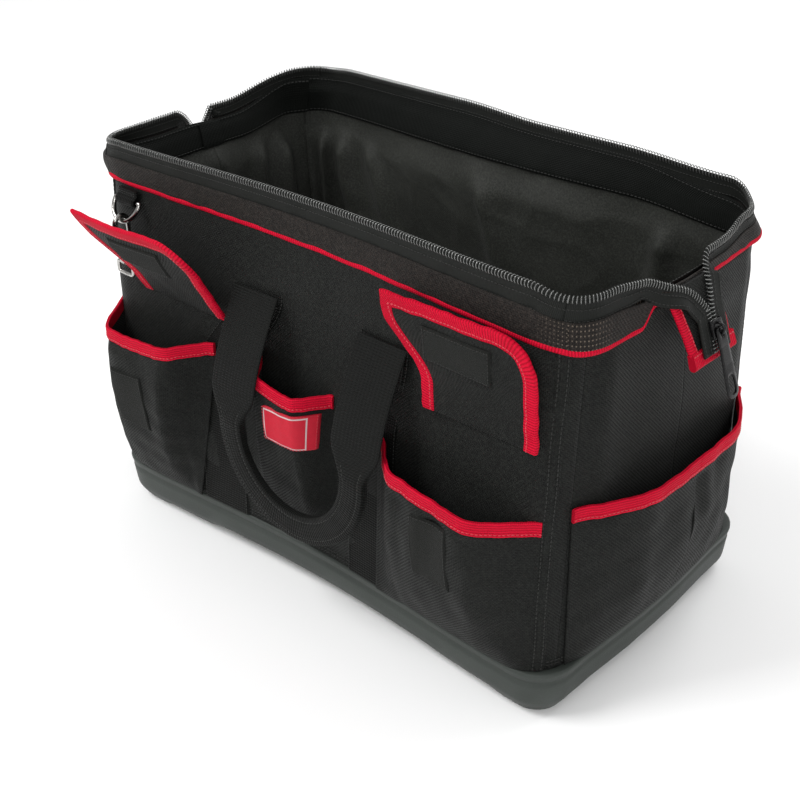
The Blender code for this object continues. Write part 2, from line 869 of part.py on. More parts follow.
def ring_centre():
    wall = front_face(ring_x + ring_loop_width / 2, shell_top - 2 * ring_drop, corner_step)
    y = wall - clearance - webbing_thickness - ring_wire - play
    return Vector((ring_x, y, shell_top - ring_drop))


def make_ring_loop(word, side):
    """A short webbing loop that hangs from the piping seam and goes round the bar of the D-ring."""
    body = word + "_wall"
    centre = ring_centre()
    radius = ring_wire + play + webbing_thickness / 2
    top = shell_top - clearance
    path = []
    for part in range(9):
        turn = math.pi * part / 8
        path.append(Vector((0, math.cos(turn) * radius, -math.sin(turn) * radius)) + centre)
    path.append(Vector((centre.x, centre.y - radius, top - webbing_thickness)))
    path.append(Vector((centre.x, centre.y - radius / 2, top - webbing_thickness / 2)))
    path.append(Vector((centre.x, centre.y + radius / 2, top - webbing_thickness / 2)))
    path.append(Vector((centre.x, centre.y + radius, top - webbing_thickness)))
    across = Vector((ring_loop_width / 2, 0, 0))
    sections = []
    for spot, point in enumerate(path):
        along = (path[(spot + 1) % len(path)] - path[spot - 1]).normalized()
        out = along.cross(Vector((1, 0, 0))) * webbing_thickness / 2
        sections.append([point - across + out, point + across + out, point + across - out,
                         point - across - out])
    loft(word + "_d_ring_loop", sections, "webbing", body, closed=True, side=side)


def ring_down(lean):
    """The way from the D-ring's bar to its lowest point, when it stands off the wall by an angle."""
    return Vector((0, -math.sin(lean), -math.cos(lean)))


def make_ring(word, side, lean):
    """The D-ring: a straight bar in the loop, and a bow below it."""
    half = ring_inner_width / 2 + ring_wire
    centre = ring_centre()
    down = ring_down(lean)
    path = [centre + Vector((half * (2 * part / 4 - 1), 0, 0)) for part in range(1, 4)]
    for part in range(17):
        turn = math.pi * part / 16
        path.append(centre + Vector((half * math.cos(turn), 0, 0))
                    + down * (ring_depth + ring_wire) * math.sin(turn))
    wire(word + "_d_ring", path, ring_wire, "nickel", word + "_d_ring", Vector((1, 0, 0)).cross(down),
         closed=True, side=side)


def hook_centre():
    """The middle of the hook's mouth bow, which goes round the lowest point of the D-ring."""
    return ring_centre() + ring_down(front_ring_lean) * (ring_depth + ring_wire)


def make_snap_hook():
    """A hook with a swivel barrel and an eye for a strap. Its open side is closed by the gate."""
    top = hook_centre() + Vector((0, 0, -ring_wire - play))
    half = hook_inner_width / 2 + hook_wire
    low = -hook_inner_length
    path = [Vector((0, half, low * hook_gate_share))]
    for part in range(9):
        turn = math.pi * part / 8
        path.append(Vector((0, half * math.cos(turn), half * math.sin(turn))))
    path += [Vector((0, -half, low / 2)), Vector((0, -half, low)), Vector((0, -half / 2, low - half)),
             Vector((0, half / 3, low - half))]
    lift = Vector((0, 0, ring_wire * 2 + play * 2 - hook_inner_width / 2))
    path = [point + top + lift for point in path]
    bow = wire("snap_hook_bow", path, hook_wire, "nickel", "snap_hook", Vector((1, 0, 0)))
    barrel_top = path[-1].z + hook_wire / 2
    barrel = upright("snap_hook_barrel", Vector((top.x, top.y, 0)), barrel_radius,
                     barrel_top - barrel_length, barrel_top, "snap_hook")
    eye_top = barrel_top - barrel_length + hook_wire / 2
    eye_path = [Vector((top.x + x * eye_width / 2, top.y, eye_top - z * eye_height))
                for x, z in ((-1, 0), (1, 0), (1, 1), (-1, 1))]
    eye = wire("snap_hook_eye", eye_path, eye_wire, "nickel", "snap_hook", Vector((0, 1, 0)), closed=True)
    joined("snap_hook", [bow, barrel, eye])
    return path


def upright(name, place, radius, low, high, body, sides=12):
    rings = [round_section(Vector((place.x, place.y, z)), Vector((1, 0, 0)), Vector((0, 1, 0)), size, sides)
             for z, size in ((low, radius * barrel_end_share), (low + radius / 3, radius),
                             (high - radius / 3, radius), (high, radius * barrel_end_share))]
    return loft(name, rings, "nickel", body)


def gate_line():
    """Where the gate lies: from its pin, low on the hook's open side, up to just under the hook's nose."""
    top = hook_centre() + Vector((0, 0, ring_wire + play - hook_inner_width / 2))
    half = hook_inner_width / 2 + hook_wire
    low = top + Vector((0, half, -hook_inner_length - hook_wire))
    high = top + Vector((0, half, -hook_inner_length * hook_gate_share - play))
    return low, high


def make_gate():
    low, high = gate_line()
    wire("snap_hook_gate", [low, between(low, high, 0.5), high], gate_wire, "nickel", "snap_gate",
         Vector((1, 0, 0)))


# Zip ends


def tab_frame():
    """The tab leaves the end just over the piping: its start, its way down and its way out."""
    start = Vector((end_face(0, piping_height) + piping_radius + tab_thickness / 2, 0,
                    piping_height + tab_rise))
    foot = Vector((start.x + tab_reach, 0, tab_foot_height))
    along = (foot - start).normalized()
    return start, along, Vector((-along.z, 0, along.x)), (foot - start).length


def tail_place(share, across=0.0, off=0.0):
    """A place on the closed tail of the zip, off the tab's face by the thickness of the coil."""
    start, along, out, length = tab_frame()
    lift = tab_thickness / 2 + clearance + coil_radius + off
    return start + along * length * share + out * lift + Vector((0, across, 0))


def zip_half(hand, tail_share):
    """Middle line of the coil on one half of an end, with the way its tape points: down along the mouth,
    and outwards on the tail."""
    height = zip_height - coil_radius
    inset = mouth_panel_thickness / 2
    mouth = end_line(height, inset, mouth_corner_angle + mouth_corner_gap_angle)
    mouth = [Vector((point.x, -hand * point.y, point.z)) for point in mouth]
    line = [(point, Vector((0, 0, -1))) for point in mouth if point.y * hand > tail_spread]
    last = Vector((end_face(tail_spread, height) - inset, hand * tail_spread, height))
    _, along, out, _ = tab_frame()
    meet = tail_place(tail_start_share, hand * coil_radius * coil_mesh_share)
    guides = [last, last + Vector((tail_lift, -hand * tail_curve, 0)),
              meet - along * tail_curve + out * tail_lift / 2 + Vector((0, hand * tail_lift, 0)), meet]
    for part in range(9):
        share = part / 8
        weights = ((1 - share) ** 3, 3 * share * (1 - share) ** 2, 3 * share**2 * (1 - share), share**3)
        point = sum((guide * weight for guide, weight in zip(guides, weights)), Vector((0, 0, 0)))
        flat = eased(share / tail_turn_share)
        line.append((point, Vector((0, 0, -1)).lerp(Vector((0, hand, 0)), flat).normalized()))
    for part in range(1, 5):
        share = between(tail_start_share, tail_share, part / 4)
        line.append((tail_place(share, hand * coil_radius * coil_mesh_share), Vector((0, hand, 0))))
    return line


def make_zip_half(name, hand, side, tail_share):
    """A coil bead with its tape, carried along one half of an end."""
    line = zip_half(hand, tail_share)
    reach = coil_radius + zip_tape_height - clearance
    thick = mouth_panel_thickness / 2
    bead = [(coil_radius * math.cos(turn), coil_radius * math.sin(turn))
            for turn in (math.radians(30 + 60 * part) for part in range(6))]
    shape = [(reach, thick), *bead, (reach, -thick)]
    sections = []
    for spot, (point, tape) in enumerate(line):
        before, after = line[max(0, spot - 1)][0], line[min(len(line) - 1, spot + 1)][0]
        along = (after - before).normalized()
        down = (tape - along * tape.dot(along)).normalized()
        out = down.cross(along)
        sections.append([point + down * across + out * up for across, up in shape])
    return loft(name, sections, "zip_coil", "base", side=side)


def make_end_zip(word, side):
    """The zip on an end of the mouth: both halves, and the closed tail where they meet."""
    name = word + "_end_zip"
    tail_share = right_tail_share if word == "right" else left_tail_share
    front_half = make_zip_half(name, -1, side, tail_share)
    joined(name, [front_half, make_zip_half(name + "_back_half", 1, side, tail_share)])


def make_tab():
    start, along, out, length = tab_frame()
    sections = []
    for share in (0.0, 0.5, 1.0):
        half = between(tab_top_half_width, tab_half_width, share)
        middle = start + along * length * share
        near, far = -out * tab_thickness / 2, out * tab_thickness / 2
        left, right = Vector((0, -half, 0)), Vector((0, half, 0))
        sections.append([middle + left + far, middle + right + far, middle + right + near,
                         middle + left + near])
    loft("right_zip_tab", sections, "black_cloth")


def slider_frame():
    _, along, out, _ = tab_frame()
    return tail_place(slider_share), along, out


def make_slider():
    """A saddle over the closed coil, with an arch on top that holds the pull."""
    middle, along, out = slider_frame()
    inner = 2 * coil_radius + play
    outer = inner + slider_wall
    low, under = coil_radius / 2 + clearance, coil_radius + play
    top = under + slider_wall
    shape = [(-outer, low), (-outer, top), (outer, top), (outer, low),
             (inner, low), (inner, under), (-inner, under), (-inner, low)]
    sections = []
    for share in (-0.5, 0.5):
        place = middle + along * slider_length * share
        sections.append([place + Vector((0, across, 0)) + out * up for across, up in shape])
    body = loft("zip_slider", sections, "black_metal", "zip_slider")
    path = []
    for part in range(11):
        turn = math.pi * part / 10
        path.append(middle + along * arch_half_length * math.cos(turn)
                    + out * (top - arch_sink + (arch_height + arch_sink) * math.sin(turn)))
    arch = wire("zip_slider_arch", path, arch_wire, "black_metal", "zip_slider", Vector((0, 1, 0)), sides=6)
    joined("zip_slider", [body, arch])


def pull_pivot():
    """The pull's bar turns just over the slider's plate, clear of it with its corners too."""
    middle, _, out = slider_frame()
    corner = math.hypot(pull_bar, pull_thickness) / 2
    return middle + out * (coil_radius + play + slider_wall + clearance + corner)


def block(name, middle, along, out, length, width, depth, body, ends=1.0):
    """A straight block whose ends may be narrower than its middle."""
    sections = []
    for share, size in zip(hole_shares, (ends, 1.0, 1.0, ends)):
        place = middle + along * length * share
        half = Vector((0, width / 2 * size, 0))
        sections.append([place - half + out * depth / 2, place + half + out * depth / 2,
                         place + half - out * depth / 2, place - half - out * depth / 2])
    return loft(name, sections, "black_metal", body)


def make_pull():
    """A flat tab: its bar lies under the slider's arch, and it has an oval finger hole at its end."""
    _, along, out = slider_frame()
    pivot = pull_pivot()
    sections = []
    foot = pull_length - pull_bar / 2
    waist = between(pull_top_width, pull_width, pull_taper_share)
    for place, width in ((-pull_bar / 2, pull_top_width), (foot / 2, waist),
                         (foot - pull_width / 2, pull_width),
                         (foot - pull_width / 6, pull_width * pull_shoulder_share),
                         (foot, pull_width * pull_tip_share)):
        half = Vector((0, width / 2, 0))
        near, far = -out * pull_thickness / 2, out * pull_thickness / 2
        middle = pivot + along * place
        sections.append([middle - half + far, middle + half + far, middle + half + near,
                         middle - half + near])
    pull = loft("zip_pull", sections, "black_metal", "zip_pull")
    eye = block("pull_eye_cutter", pivot + along * (pull_bar + pull_eye_length) / 2, along, out,
                pull_eye_length, pull_eye_width, pull_thickness * 3, "zip_pull")
    hole_middle = pivot + along * (foot - pull_hole_rim - pull_hole_length / 2)
    hole = block("pull_hole_cutter", hole_middle, along, out, pull_hole_length, pull_hole_width,
                 pull_thickness * 3, "zip_pull", ends=hole_end_share)
    cut(pull, eye)
    cut(pull, hole)


# Putting the bag together


def add_bodies():
    bpy.context.collection.objects.link(bpy.data.objects.new("base_pivot", None))
    wall_pivot = Vector((0, wall_pivot_y, rim_height))
    flap_stand = (flap_thickness + flap_binding_thickness) / 4
    flap_y = -(wall_half_depth - lean_at(flap_hinge_height)) - clearance - flap_stand
    strap_edges = (handle_left_x - webbing_width / 2, handle_right_x + webbing_width / 2)
    proud = min(front_face(x, fold_height, corner_step) for x in strap_edges)
    fold_y = proud - webbing_thickness - webbing_thickness / 2 - 2 * clearance
    add_body("front_wall", wall_pivot, "base")
    add_body("back_wall", turned(wall_pivot, -1), "base")
    add_body("left_flap", Vector((left_flap_x, flap_y, flap_hinge_height)), "front_wall")
    add_body("right_flap", Vector((right_flap_x, flap_y, flap_hinge_height)), "front_wall")
    add_body("front_handle", Vector((0, fold_y, fold_height)), "front_wall")
    add_body("back_handle", turned(Vector((0, fold_y, fold_height)), -1), "back_wall")
    add_body("front_d_ring", ring_centre(), "front_wall")
    add_body("back_d_ring", turned(ring_centre(), -1), "back_wall")
    add_body("snap_hook", hook_centre(), "front_d_ring")
    add_body("snap_gate", gate_line()[0], "snap_hook")
    add_body("zip_slider", slider_frame()[0], "base")
    add_body("zip_pull", pull_pivot(), "zip_slider")


def build_bag():
    add_bodies()
    make_tray()
    make_board()
    for word, side in (("front", 1), ("back", -1)):
        make_long_wall(word, side)
        make_strap(word + "_left_strap", word + "_wall", side, left_strap_x, handle_left_x)
        make_strap(word + "_right_strap", word + "_wall", side, right_strap_x, handle_right_x)
        make_handle(word, side, front_handle_outreach if word == "front" else back_handle_outreach)
        make_ring_loop(word, side)
        make_ring(word, side, front_ring_lean if word == "front" else 0.0)
    for word, side in (("right", 1), ("left", -1)):
        make_end_wall(word, side)
        make_end_zip(word, side)
    make_tab()
    make_slider()
    make_pull()
    make_pockets()
    make_flap("left", left_flap_lean)
    make_flap("right", right_flap_lean)
    make_snap_hook()
    make_gate()


build_bag()
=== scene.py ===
"""A cloth tool bag on a moulded tray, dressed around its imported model.

Lengths are in metres. X runs along the bag, the front faces -Y and Z is up. The back is made as the
front is and then turned half round the upright axis, and so is the left end from the right one."""

import bpy
import numpy as np
from mathutils import Matrix, Vector


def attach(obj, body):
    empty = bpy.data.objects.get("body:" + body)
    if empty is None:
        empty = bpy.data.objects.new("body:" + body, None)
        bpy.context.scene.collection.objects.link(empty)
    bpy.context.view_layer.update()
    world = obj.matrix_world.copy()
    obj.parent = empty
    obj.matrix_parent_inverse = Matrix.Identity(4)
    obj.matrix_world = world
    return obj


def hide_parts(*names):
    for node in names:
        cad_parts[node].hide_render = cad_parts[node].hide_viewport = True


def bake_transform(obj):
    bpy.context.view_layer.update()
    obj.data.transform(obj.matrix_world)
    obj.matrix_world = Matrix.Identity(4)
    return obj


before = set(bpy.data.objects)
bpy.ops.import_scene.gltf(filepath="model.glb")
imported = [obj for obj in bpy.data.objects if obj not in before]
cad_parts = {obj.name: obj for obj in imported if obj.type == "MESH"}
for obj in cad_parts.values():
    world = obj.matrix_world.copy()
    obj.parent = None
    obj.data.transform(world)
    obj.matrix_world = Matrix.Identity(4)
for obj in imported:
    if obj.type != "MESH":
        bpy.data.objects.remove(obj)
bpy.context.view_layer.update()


# Camera, floor and studio light
# A plain pale floor that runs on as the background, one broad soft lamp high on the left, one at the
# front and one behind, and a pale sky that fills the shadows. The camera stands at the front right.
camera_turn = np.radians(41.41)
camera_height = np.radians(27.59)
camera_roll = np.radians(-0.36)
camera_distance = 1.078
camera_target = Vector((0.0, 0.0, 0.170))
camera_lens = 60.34
sensor_width = 36.0
view_shift_x, view_shift_y = -0.0209, -0.0665
floor_size, floor_roughness = 30.0, 0.9
floor_colour = (0.92, 0.92, 0.92, 1.0)
sky_colour = (1.0, 1.0, 1.0, 1.0)
sky_strength = 0.62
lamps = {
    "key_lamp": ((-1.3, -1.5, 2.5), 1.3, 62.0),
    "front_lamp": ((1.9, -2.0, 1.5), 1.6, 30.0),
    "back_lamp": ((0.5, 1.7, 2.4), 1.6, 34.0),
}


def placed(name, data):
    """A new object in the scene."""
    thing = bpy.data.objects.new(name, data)
    bpy.context.scene.collection.objects.link(thing)
    return thing


back_way = Vector((np.sin(camera_turn) * np.cos(camera_height),
                   -np.cos(camera_turn) * np.cos(camera_height), np.sin(camera_height)))
camera = placed("camera", bpy.data.cameras.new("camera"))
bpy.context.scene.camera = camera
camera.data.lens = camera_lens
camera.data.sensor_width = sensor_width
camera.data.shift_x, camera.data.shift_y = view_shift_x, view_shift_y
right_way = Vector((0, 0, 1)).cross(back_way).normalized()
up_way = back_way.cross(right_way)
turned_right = right_way * np.cos(camera_roll) + up_way * np.sin(camera_roll)
turned_up = up_way * np.cos(camera_roll) - right_way * np.sin(camera_roll)
camera.matrix_world = Matrix.Translation(camera_target + back_way * camera_distance) @ Matrix(
    (turned_right, turned_up, back_way)).transposed().to_4x4()

floor_corners = [(x * floor_size, y * floor_size, 0.0) for x, y in ((-1, -1), (1, -1), (1, 1), (-1, 1))]
floor_mesh = bpy.data.meshes.new("floor")
floor_mesh.from_pydata(floor_corners, [], [(0, 1, 2, 3)])
floor = placed("floor", floor_mesh)
floor_paint = bpy.data.materials.new("floor_paint")
floor_paint.use_nodes = True
floor_paint.node_tree.nodes["Principled BSDF"].inputs["Base Color"].default_value = floor_colour
floor_paint.node_tree.nodes["Principled BSDF"].inputs["Roughness"].default_value = floor_roughness
floor_mesh.materials.append(floor_paint)

for lamp_name, (lamp_place, lamp_size, lamp_power) in lamps.items():
    light = bpy.data.lights.new(lamp_name, "AREA")
    light.size, light.energy = lamp_size, lamp_power
    lamp = placed(lamp_name, light)
    lamp.location = lamp_place
    lamp.rotation_euler = (camera_target - lamp.location).to_track_quat("-Z", "Y").to_euler()
world = bpy.data.worlds.new("studio")
world.use_nodes = True
world.node_tree.nodes["Background"].inputs["Color"].default_value = sky_colour
world.node_tree.nodes["Background"].inputs["Strength"].default_value = sky_strength
bpy.context.scene.world = world
bpy.context.scene.view_settings.view_transform = "Standard"


# Moulded tray
# The base is one injection-moulded tray of grained grey-green plastic with a rolled rim, a stitched
# groove under the rim, and a foot at each corner. The cloth walls are sewn to it through the groove.
tray_length, tray_depth, rim_height = 0.470, 0.270, 0.0415
corner_radius = 0.031
long_side_pinch, end_side_bulge = 0.009, 0.004
foot_drop, foot_step, foot_slope = 0.0045, 0.0020, 0.010
foot_length, step_length = 0.058, 0.050
rim_width, groove_height, groove_depth, middle_inset = 0.0065, 0.0335, 0.0009, 0.1100
tray_colour = (0.034, 0.040, 0.0355)
tray_pale = (0.085, 0.095, 0.088)
grain_size = 0.0011


class Wire:
    """A value in a shader. Its arithmetic adds Math nodes to the material that it belongs to."""

    def __init__(self, finish, socket):
        self.finish, self.socket = finish, socket

    def sum_of(self, operation, *values):
        return self.finish.make("ShaderNodeMath", {"operation": operation}, dict(enumerate(values)))

    def __add__(self, other):
        return self.sum_of("ADD", self, other)

    def __sub__(self, other):
        return self.sum_of("SUBTRACT", self, other)

    def __mul__(self, other):
        return self.sum_of("MULTIPLY", self, other)

    def __truediv__(self, other):
        return self.sum_of("DIVIDE", self, other)

    def __rsub__(self, other):
        return self.sum_of("SUBTRACT", other, self)

    __radd__, __rmul__ = __add__, __mul__

    def wave(self, length):
        """From 0 to 1 and back once in each length."""
        return self.sum_of("SINE", self * (2 * np.pi / length)) * 0.5 + 0.5

    def ribs(self, pitch):
        """One round rib in each pitch: |sin|."""
        ribs = self.sum_of("SINE", self * (np.pi / pitch))
        return ribs.sum_of("ABSOLUTE", ribs)

    def above(self, other):
        return self.sum_of("GREATER_THAN", self, other)


class Finish:
    """One material, and a slot name that is its own name unless another is given; the slot is not used.
    make() adds a node, and the finish is set with colour, roughness and relief."""

    def __init__(self, name, slot=None, roughness=0.6, metallic=0.0, sheen=0.0, specular=0.5, coat=0.0):
        self.slot = slot or name
        self.material = bpy.data.materials.new(name)
        self.material.use_nodes = True
        self.tree = self.material.node_tree
        self.shader = self.tree.nodes["Principled BSDF"]
        for socket, value in (("Roughness", roughness), ("Metallic", metallic), ("Sheen Weight", sheen),
                              ("Specular IOR Level", specular), ("Coat Weight", coat)):
            self.shader.inputs[socket].default_value = value

    def feed(self, socket, value):
        if isinstance(value, Wire):
            self.tree.links.new(value.socket, socket)
        else:
            socket.default_value = value

    def make(self, kind, settings=None, values=None, out=0):
        """A node of a kind, with its settings first and then its sockets' values or links."""
        node = self.tree.nodes.new(kind)
        for name, value in (settings or {}).items():
            setattr(node, name, value)
        for name, value in (values or {}).items():
            self.feed(node.inputs[name], value)
        return Wire(self, node.outputs[out])

    def place(self):
        return self.make("ShaderNodeTexCoord", out="Object")

    def parts(self, vector):
        """The three parts of a vector."""
        split = self.make("ShaderNodeSeparateXYZ", values={0: vector})
        return [Wire(self, socket) for socket in split.socket.node.outputs]

    def run(self):
        """The two ways along a surface, in metres, from the piece's own UV map."""
        return self.parts(self.make("ShaderNodeTexCoord", out="UV"))[:2]

    def noise(self, size, detail=3.0, where=None, roughness=0.55):
        return self.make("ShaderNodeTexNoise", values={
            "Vector": where or self.place(), "Scale": 1 / size, "Detail": detail, "Roughness": roughness})

    def ramp(self, value, low, high):
        """0 under low, 1 over high, and straight between them."""
        return self.make("ShaderNodeMapRange", values={"Value": value, "From Min": low, "From Max": high})

    def mix(self, share, first, second):
        """One colour or the other, by a share."""
        return self.make("ShaderNodeMix", {"data_type": "RGBA"}, {0: share, 6: self.paint(first),
                                                                  7: self.paint(second)}, out=2)

    def paint(self, colour):
        return colour if isinstance(colour, Wire) else (*colour, 1.0)

    def colour(self, value):
        self.feed(self.shader.inputs["Base Color"], self.paint(value))

    def roughness(self, value):
        self.feed(self.shader.inputs["Roughness"], value)

    def relief(self, height, depth, strength=1.0):
        """Bumps as deep as depth where the height goes from 0 to 1."""
        bump = self.make("ShaderNodeBump",
                         values={"Height": height, "Distance": depth, "Strength": strength})
        self.feed(self.shader.inputs["Normal"], bump)


def joined(*parts):
    """Values whose shapes fit, side by side as one grid."""
    return np.stack(np.broadcast_arrays(*parts), -1)


def run_along(path):
    """How far each point of a path is along it, in metres: the lengths of its steps are added up."""
    return np.concatenate([[0], np.cumsum(np.linalg.norm(np.diff(path, axis=0), axis=1))])


def way_run(grid):
    """How far each point of a grid is along its row and its column: the runs along its middle row and its
    middle column."""
    return joined(run_along(grid[grid.shape[0] // 2])[None, :],
                  run_along(grid[:, grid.shape[1] // 2])[:, None])


def meshed(name, points, faces, finish):
    """A smooth piece of one finish."""
    mesh = bpy.data.meshes.new(name)
    mesh.from_pydata(np.reshape(points, (-1, 3)), [], faces)
    mesh.shade_smooth()
    mesh.materials.append(finish.material)
    piece = placed(name, mesh)
    return piece


def skin(name, grid, finish, spread=None, round_ways=(False, False), caps=False, thickness=0.0):
    """A mesh through a grid of points. Each four neighbours make a face, round_ways closes the grid along
    its rows or columns, caps fill the first and last row, and spread is the UV map in metres: by default
    the way run along the middle row and the middle column."""
    grid = np.asarray(grid, float)
    rows, columns = grid.shape[:2]
    down, across = rows - (not round_ways[0]), columns - (not round_ways[1])
    row, column = (part.ravel() for part in np.meshgrid(np.arange(down), np.arange(across), indexing="ij"))
    corners = np.stack([row, row, row + 1, row + 1]), np.stack([column, column + 1, column + 1, column])
    faces = (corners[0] % rows * columns + corners[1] % columns).T
    if spread is None:
        closed = np.concatenate([grid, grid[:1]]) if round_ways[0] else grid
        closed = np.concatenate([closed, closed[:, :1]], 1) if round_ways[1] else closed
        spread = way_run(closed)
    loop_uv = spread[corners[0], corners[1]].transpose(1, 0, 2).reshape(-1, 2)
    ends = [list(range(columns))[::-1], list(range((rows - 1) * columns, rows * columns))] if caps else []
    piece = meshed(name, grid, faces.tolist() + ends, finish)
    mesh = piece.data
    flat = np.zeros((len(mesh.loops), 2), np.float32)
    flat[:len(loop_uv)] = loop_uv
    mesh.uv_layers.new(name="spread").data.foreach_set("uv", flat.ravel())
    if caps:
        mesh.set_sharp_from_angle(angle=np.radians(50))
    if thickness:
        solid = piece.modifiers.new("thickness", "SOLIDIFY")
        solid.thickness, solid.offset = thickness, -1.0
    return piece


def solid_skin(name, rings, finish, spread=None):
    """A solid through rings of points. Its first and its last ring are filled."""
    return skin(name, rings, finish, spread, round_ways=(False, True), caps=True)


def mount(piece, body, *nodes):
    """A piece that moves with a body. It stands in for the nodes named, if any."""
    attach(piece, body)
    for node in nodes:
        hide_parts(node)


def eased(share):
    """A smooth step: 3s^2 - 2s^3 between 0 and 1, and level outside."""
    share = np.clip(share, 0, 1)
    return share * share * (3 - 2 * share)


def pinch_at(x, straight):
    """The long sides draw in towards their middle: pinch * (1 - s^2)^2, with s the share of the straight."""
    return long_side_pinch * (1 - np.clip(np.abs(x) / straight, 0, 1) ** 2) ** 2


def belly_at(y, straight):
    """The ends belly out in their middle: bulge * (1 - s^2)^2, with s the share of the straight."""
    return end_side_bulge * (1 - np.clip(np.abs(y) / straight, 0, 1) ** 2) ** 2


def tray_plan(inset, straight_points=60, end_points=34, corner_points=9):
    """A rounded box seen from above, as far inside the tray's outline as inset: four straights, the long
    ones pinched and the short ones bellied, and a quarter circle at each corner."""
    half_x, half_y = tray_length / 2 - inset, tray_depth / 2 - inset
    radius = corner_radius - min(inset, corner_radius / 2)
    straight_x, straight_y = half_x - radius, half_y - radius
    x = np.linspace(-straight_x, straight_x, straight_points)[:-1]
    y = np.linspace(-straight_y, straight_y, end_points)[:-1]
    turn = np.linspace(0, np.pi / 2, corner_points)[:-1]
    front = joined(x, -half_y + pinch_at(x, straight_x))
    low = joined(straight_x + radius * np.sin(turn), -straight_y - radius * np.cos(turn))
    end = joined(half_x + belly_at(y, straight_y), y)
    high = joined(straight_x + radius * np.cos(turn), straight_y + radius * np.sin(turn))
    half = np.concatenate([front, low, end, high])
    return np.concatenate([half, -half])


def foot_rise(plan):
    """The underside's height: 0 at the corner feet, a low step beside each, and the full rise between."""
    near = np.maximum(tray_length / 2 - np.abs(plan[:, 0]), tray_depth / 2 - np.abs(plan[:, 1]))
    first = foot_step * eased((near - foot_length + foot_slope) / foot_slope)
    second = (foot_drop - foot_step) * eased((near - foot_length - step_length) / foot_slope)
    return first + second


tray_profile = (
    (0.0300, foot_drop, 0), (0.0275, foot_drop, 0), (0.0262, 0.0006, 1), (0.0250, 0.0, 1), (0.0130, 0.0, 1),
    (0.0112, 0.0009, 1), (0.0088, 0.0042, 1), (0.0066, 0.0075, 0.6), (0.0046, 0.0108, 0.25),
    (0.0034, 0.0140, 0), (0.0026, 0.0200, 0), (0.0018, 0.0270, 0),
    (0.0013, groove_height - 0.0028, 0), (0.0010 + groove_depth, groove_height - 0.0018, 0),
    (0.0010 + groove_depth, groove_height + 0.0006, 0), (0.0009, groove_height + 0.0016, 0),
    (0.0004, rim_height - 0.0036, 0), (0.0, rim_height - 0.0026, 0), (0.0, rim_height - 0.0010, 0),
    (0.0008, rim_height - 0.0001, 0), (0.0022, rim_height, 0), (rim_width, rim_height - 0.0002, 0),
    (rim_width, rim_height - 0.0030, 0), (0.0068, 0.0340, 0), (0.0070, 0.0120, 0), (0.0145, 0.0074, 0),
    (0.0300, 0.0073, 0), (middle_inset, 0.0073, 0))
tray_rows = []
for inset, height, rises in tray_profile[::-1]:
    plan = tray_plan(inset)
    tray_rows.append(np.column_stack([plan, height + rises * foot_rise(plan)]))
underside_plan = tray_plan(middle_inset)
tray_rows.append(np.column_stack([underside_plan, np.full(len(underside_plan), foot_drop)]))

plastic = Finish("tray_plastic", roughness=0.55, specular=0.25)
plastic_grain = plastic.noise(grain_size, detail=2.0)
plastic_wear = plastic.noise(0.045, detail=5.0)
plastic_height = plastic.parts(plastic.place())[2]
plastic_scuff = (plastic.ramp(plastic_wear, 0.48, 0.72) * plastic.ramp(plastic_height, 0.030, 0.002)
                 * 0.8 + plastic.ramp(plastic_grain, 0.55, 0.75) * 0.18)
plastic.colour(plastic.mix(plastic_scuff, tray_colour, tray_pale))
plastic.roughness(plastic_wear * 0.18 + 0.42)
plastic.relief(plastic_grain, 0.00022)
tray = solid_skin("tray", tray_rows, plastic)
mount(tray, "base", "base_tray")


# Bottom board
# A stiff board in the tray, wrapped in the same black cloth as the lining and pushed in from above, so
# it crowns a little in the middle and its cloth is creased near the corners.
board_low, board_high, board_crown, board_round = 0.0076, 0.0106, 0.0022, 0.0014
board_inset = 0.0150
lining_dark, lining_light = (0.0130, 0.0138, 0.0120), (0.0560, 0.0585, 0.0515)


def ripple(first, second, seed, size, count=7):
    """A soft uneven wave between about -1 and 1 over two coordinates in metres: a seeded sum of count
    sines, whose lengths lie around size and whose ways are spread at random."""
    drawn = np.random.default_rng(seed)
    turns = drawn.uniform(0, 2 * np.pi, (count, 2))
    lengths = size * drawn.uniform(0.6, 1.9, count)
    total = 0.0
    for (way, start), length in zip(turns, lengths):
        total = total + np.sin((first * np.cos(way) + second * np.sin(way)) * 2 * np.pi / length + start)
    return total / np.sqrt(count * 2.0)


def creases(first, second, seed, size):
    """Sharp soft folds: 1 - |wave| squared twice, so narrow ridges run where the wave crosses nothing."""
    return (1 - np.clip(np.abs(ripple(first, second, seed, size, 5)), 0, 1)) ** 4


def woven(finish, pitch):
    """Plain weave: each cell shows the thread along one way or the other, rounded as |sin| across it."""
    first, second = finish.run()
    along = first.sum_of("SINE", first * (np.pi / pitch))
    across = second.sum_of("SINE", second * (np.pi / pitch))
    warp = along.sum_of("ABSOLUTE", along)
    weft = across.sum_of("ABSOLUTE", across)
    return weft + (warp - weft) * (along * across).above(0.0)


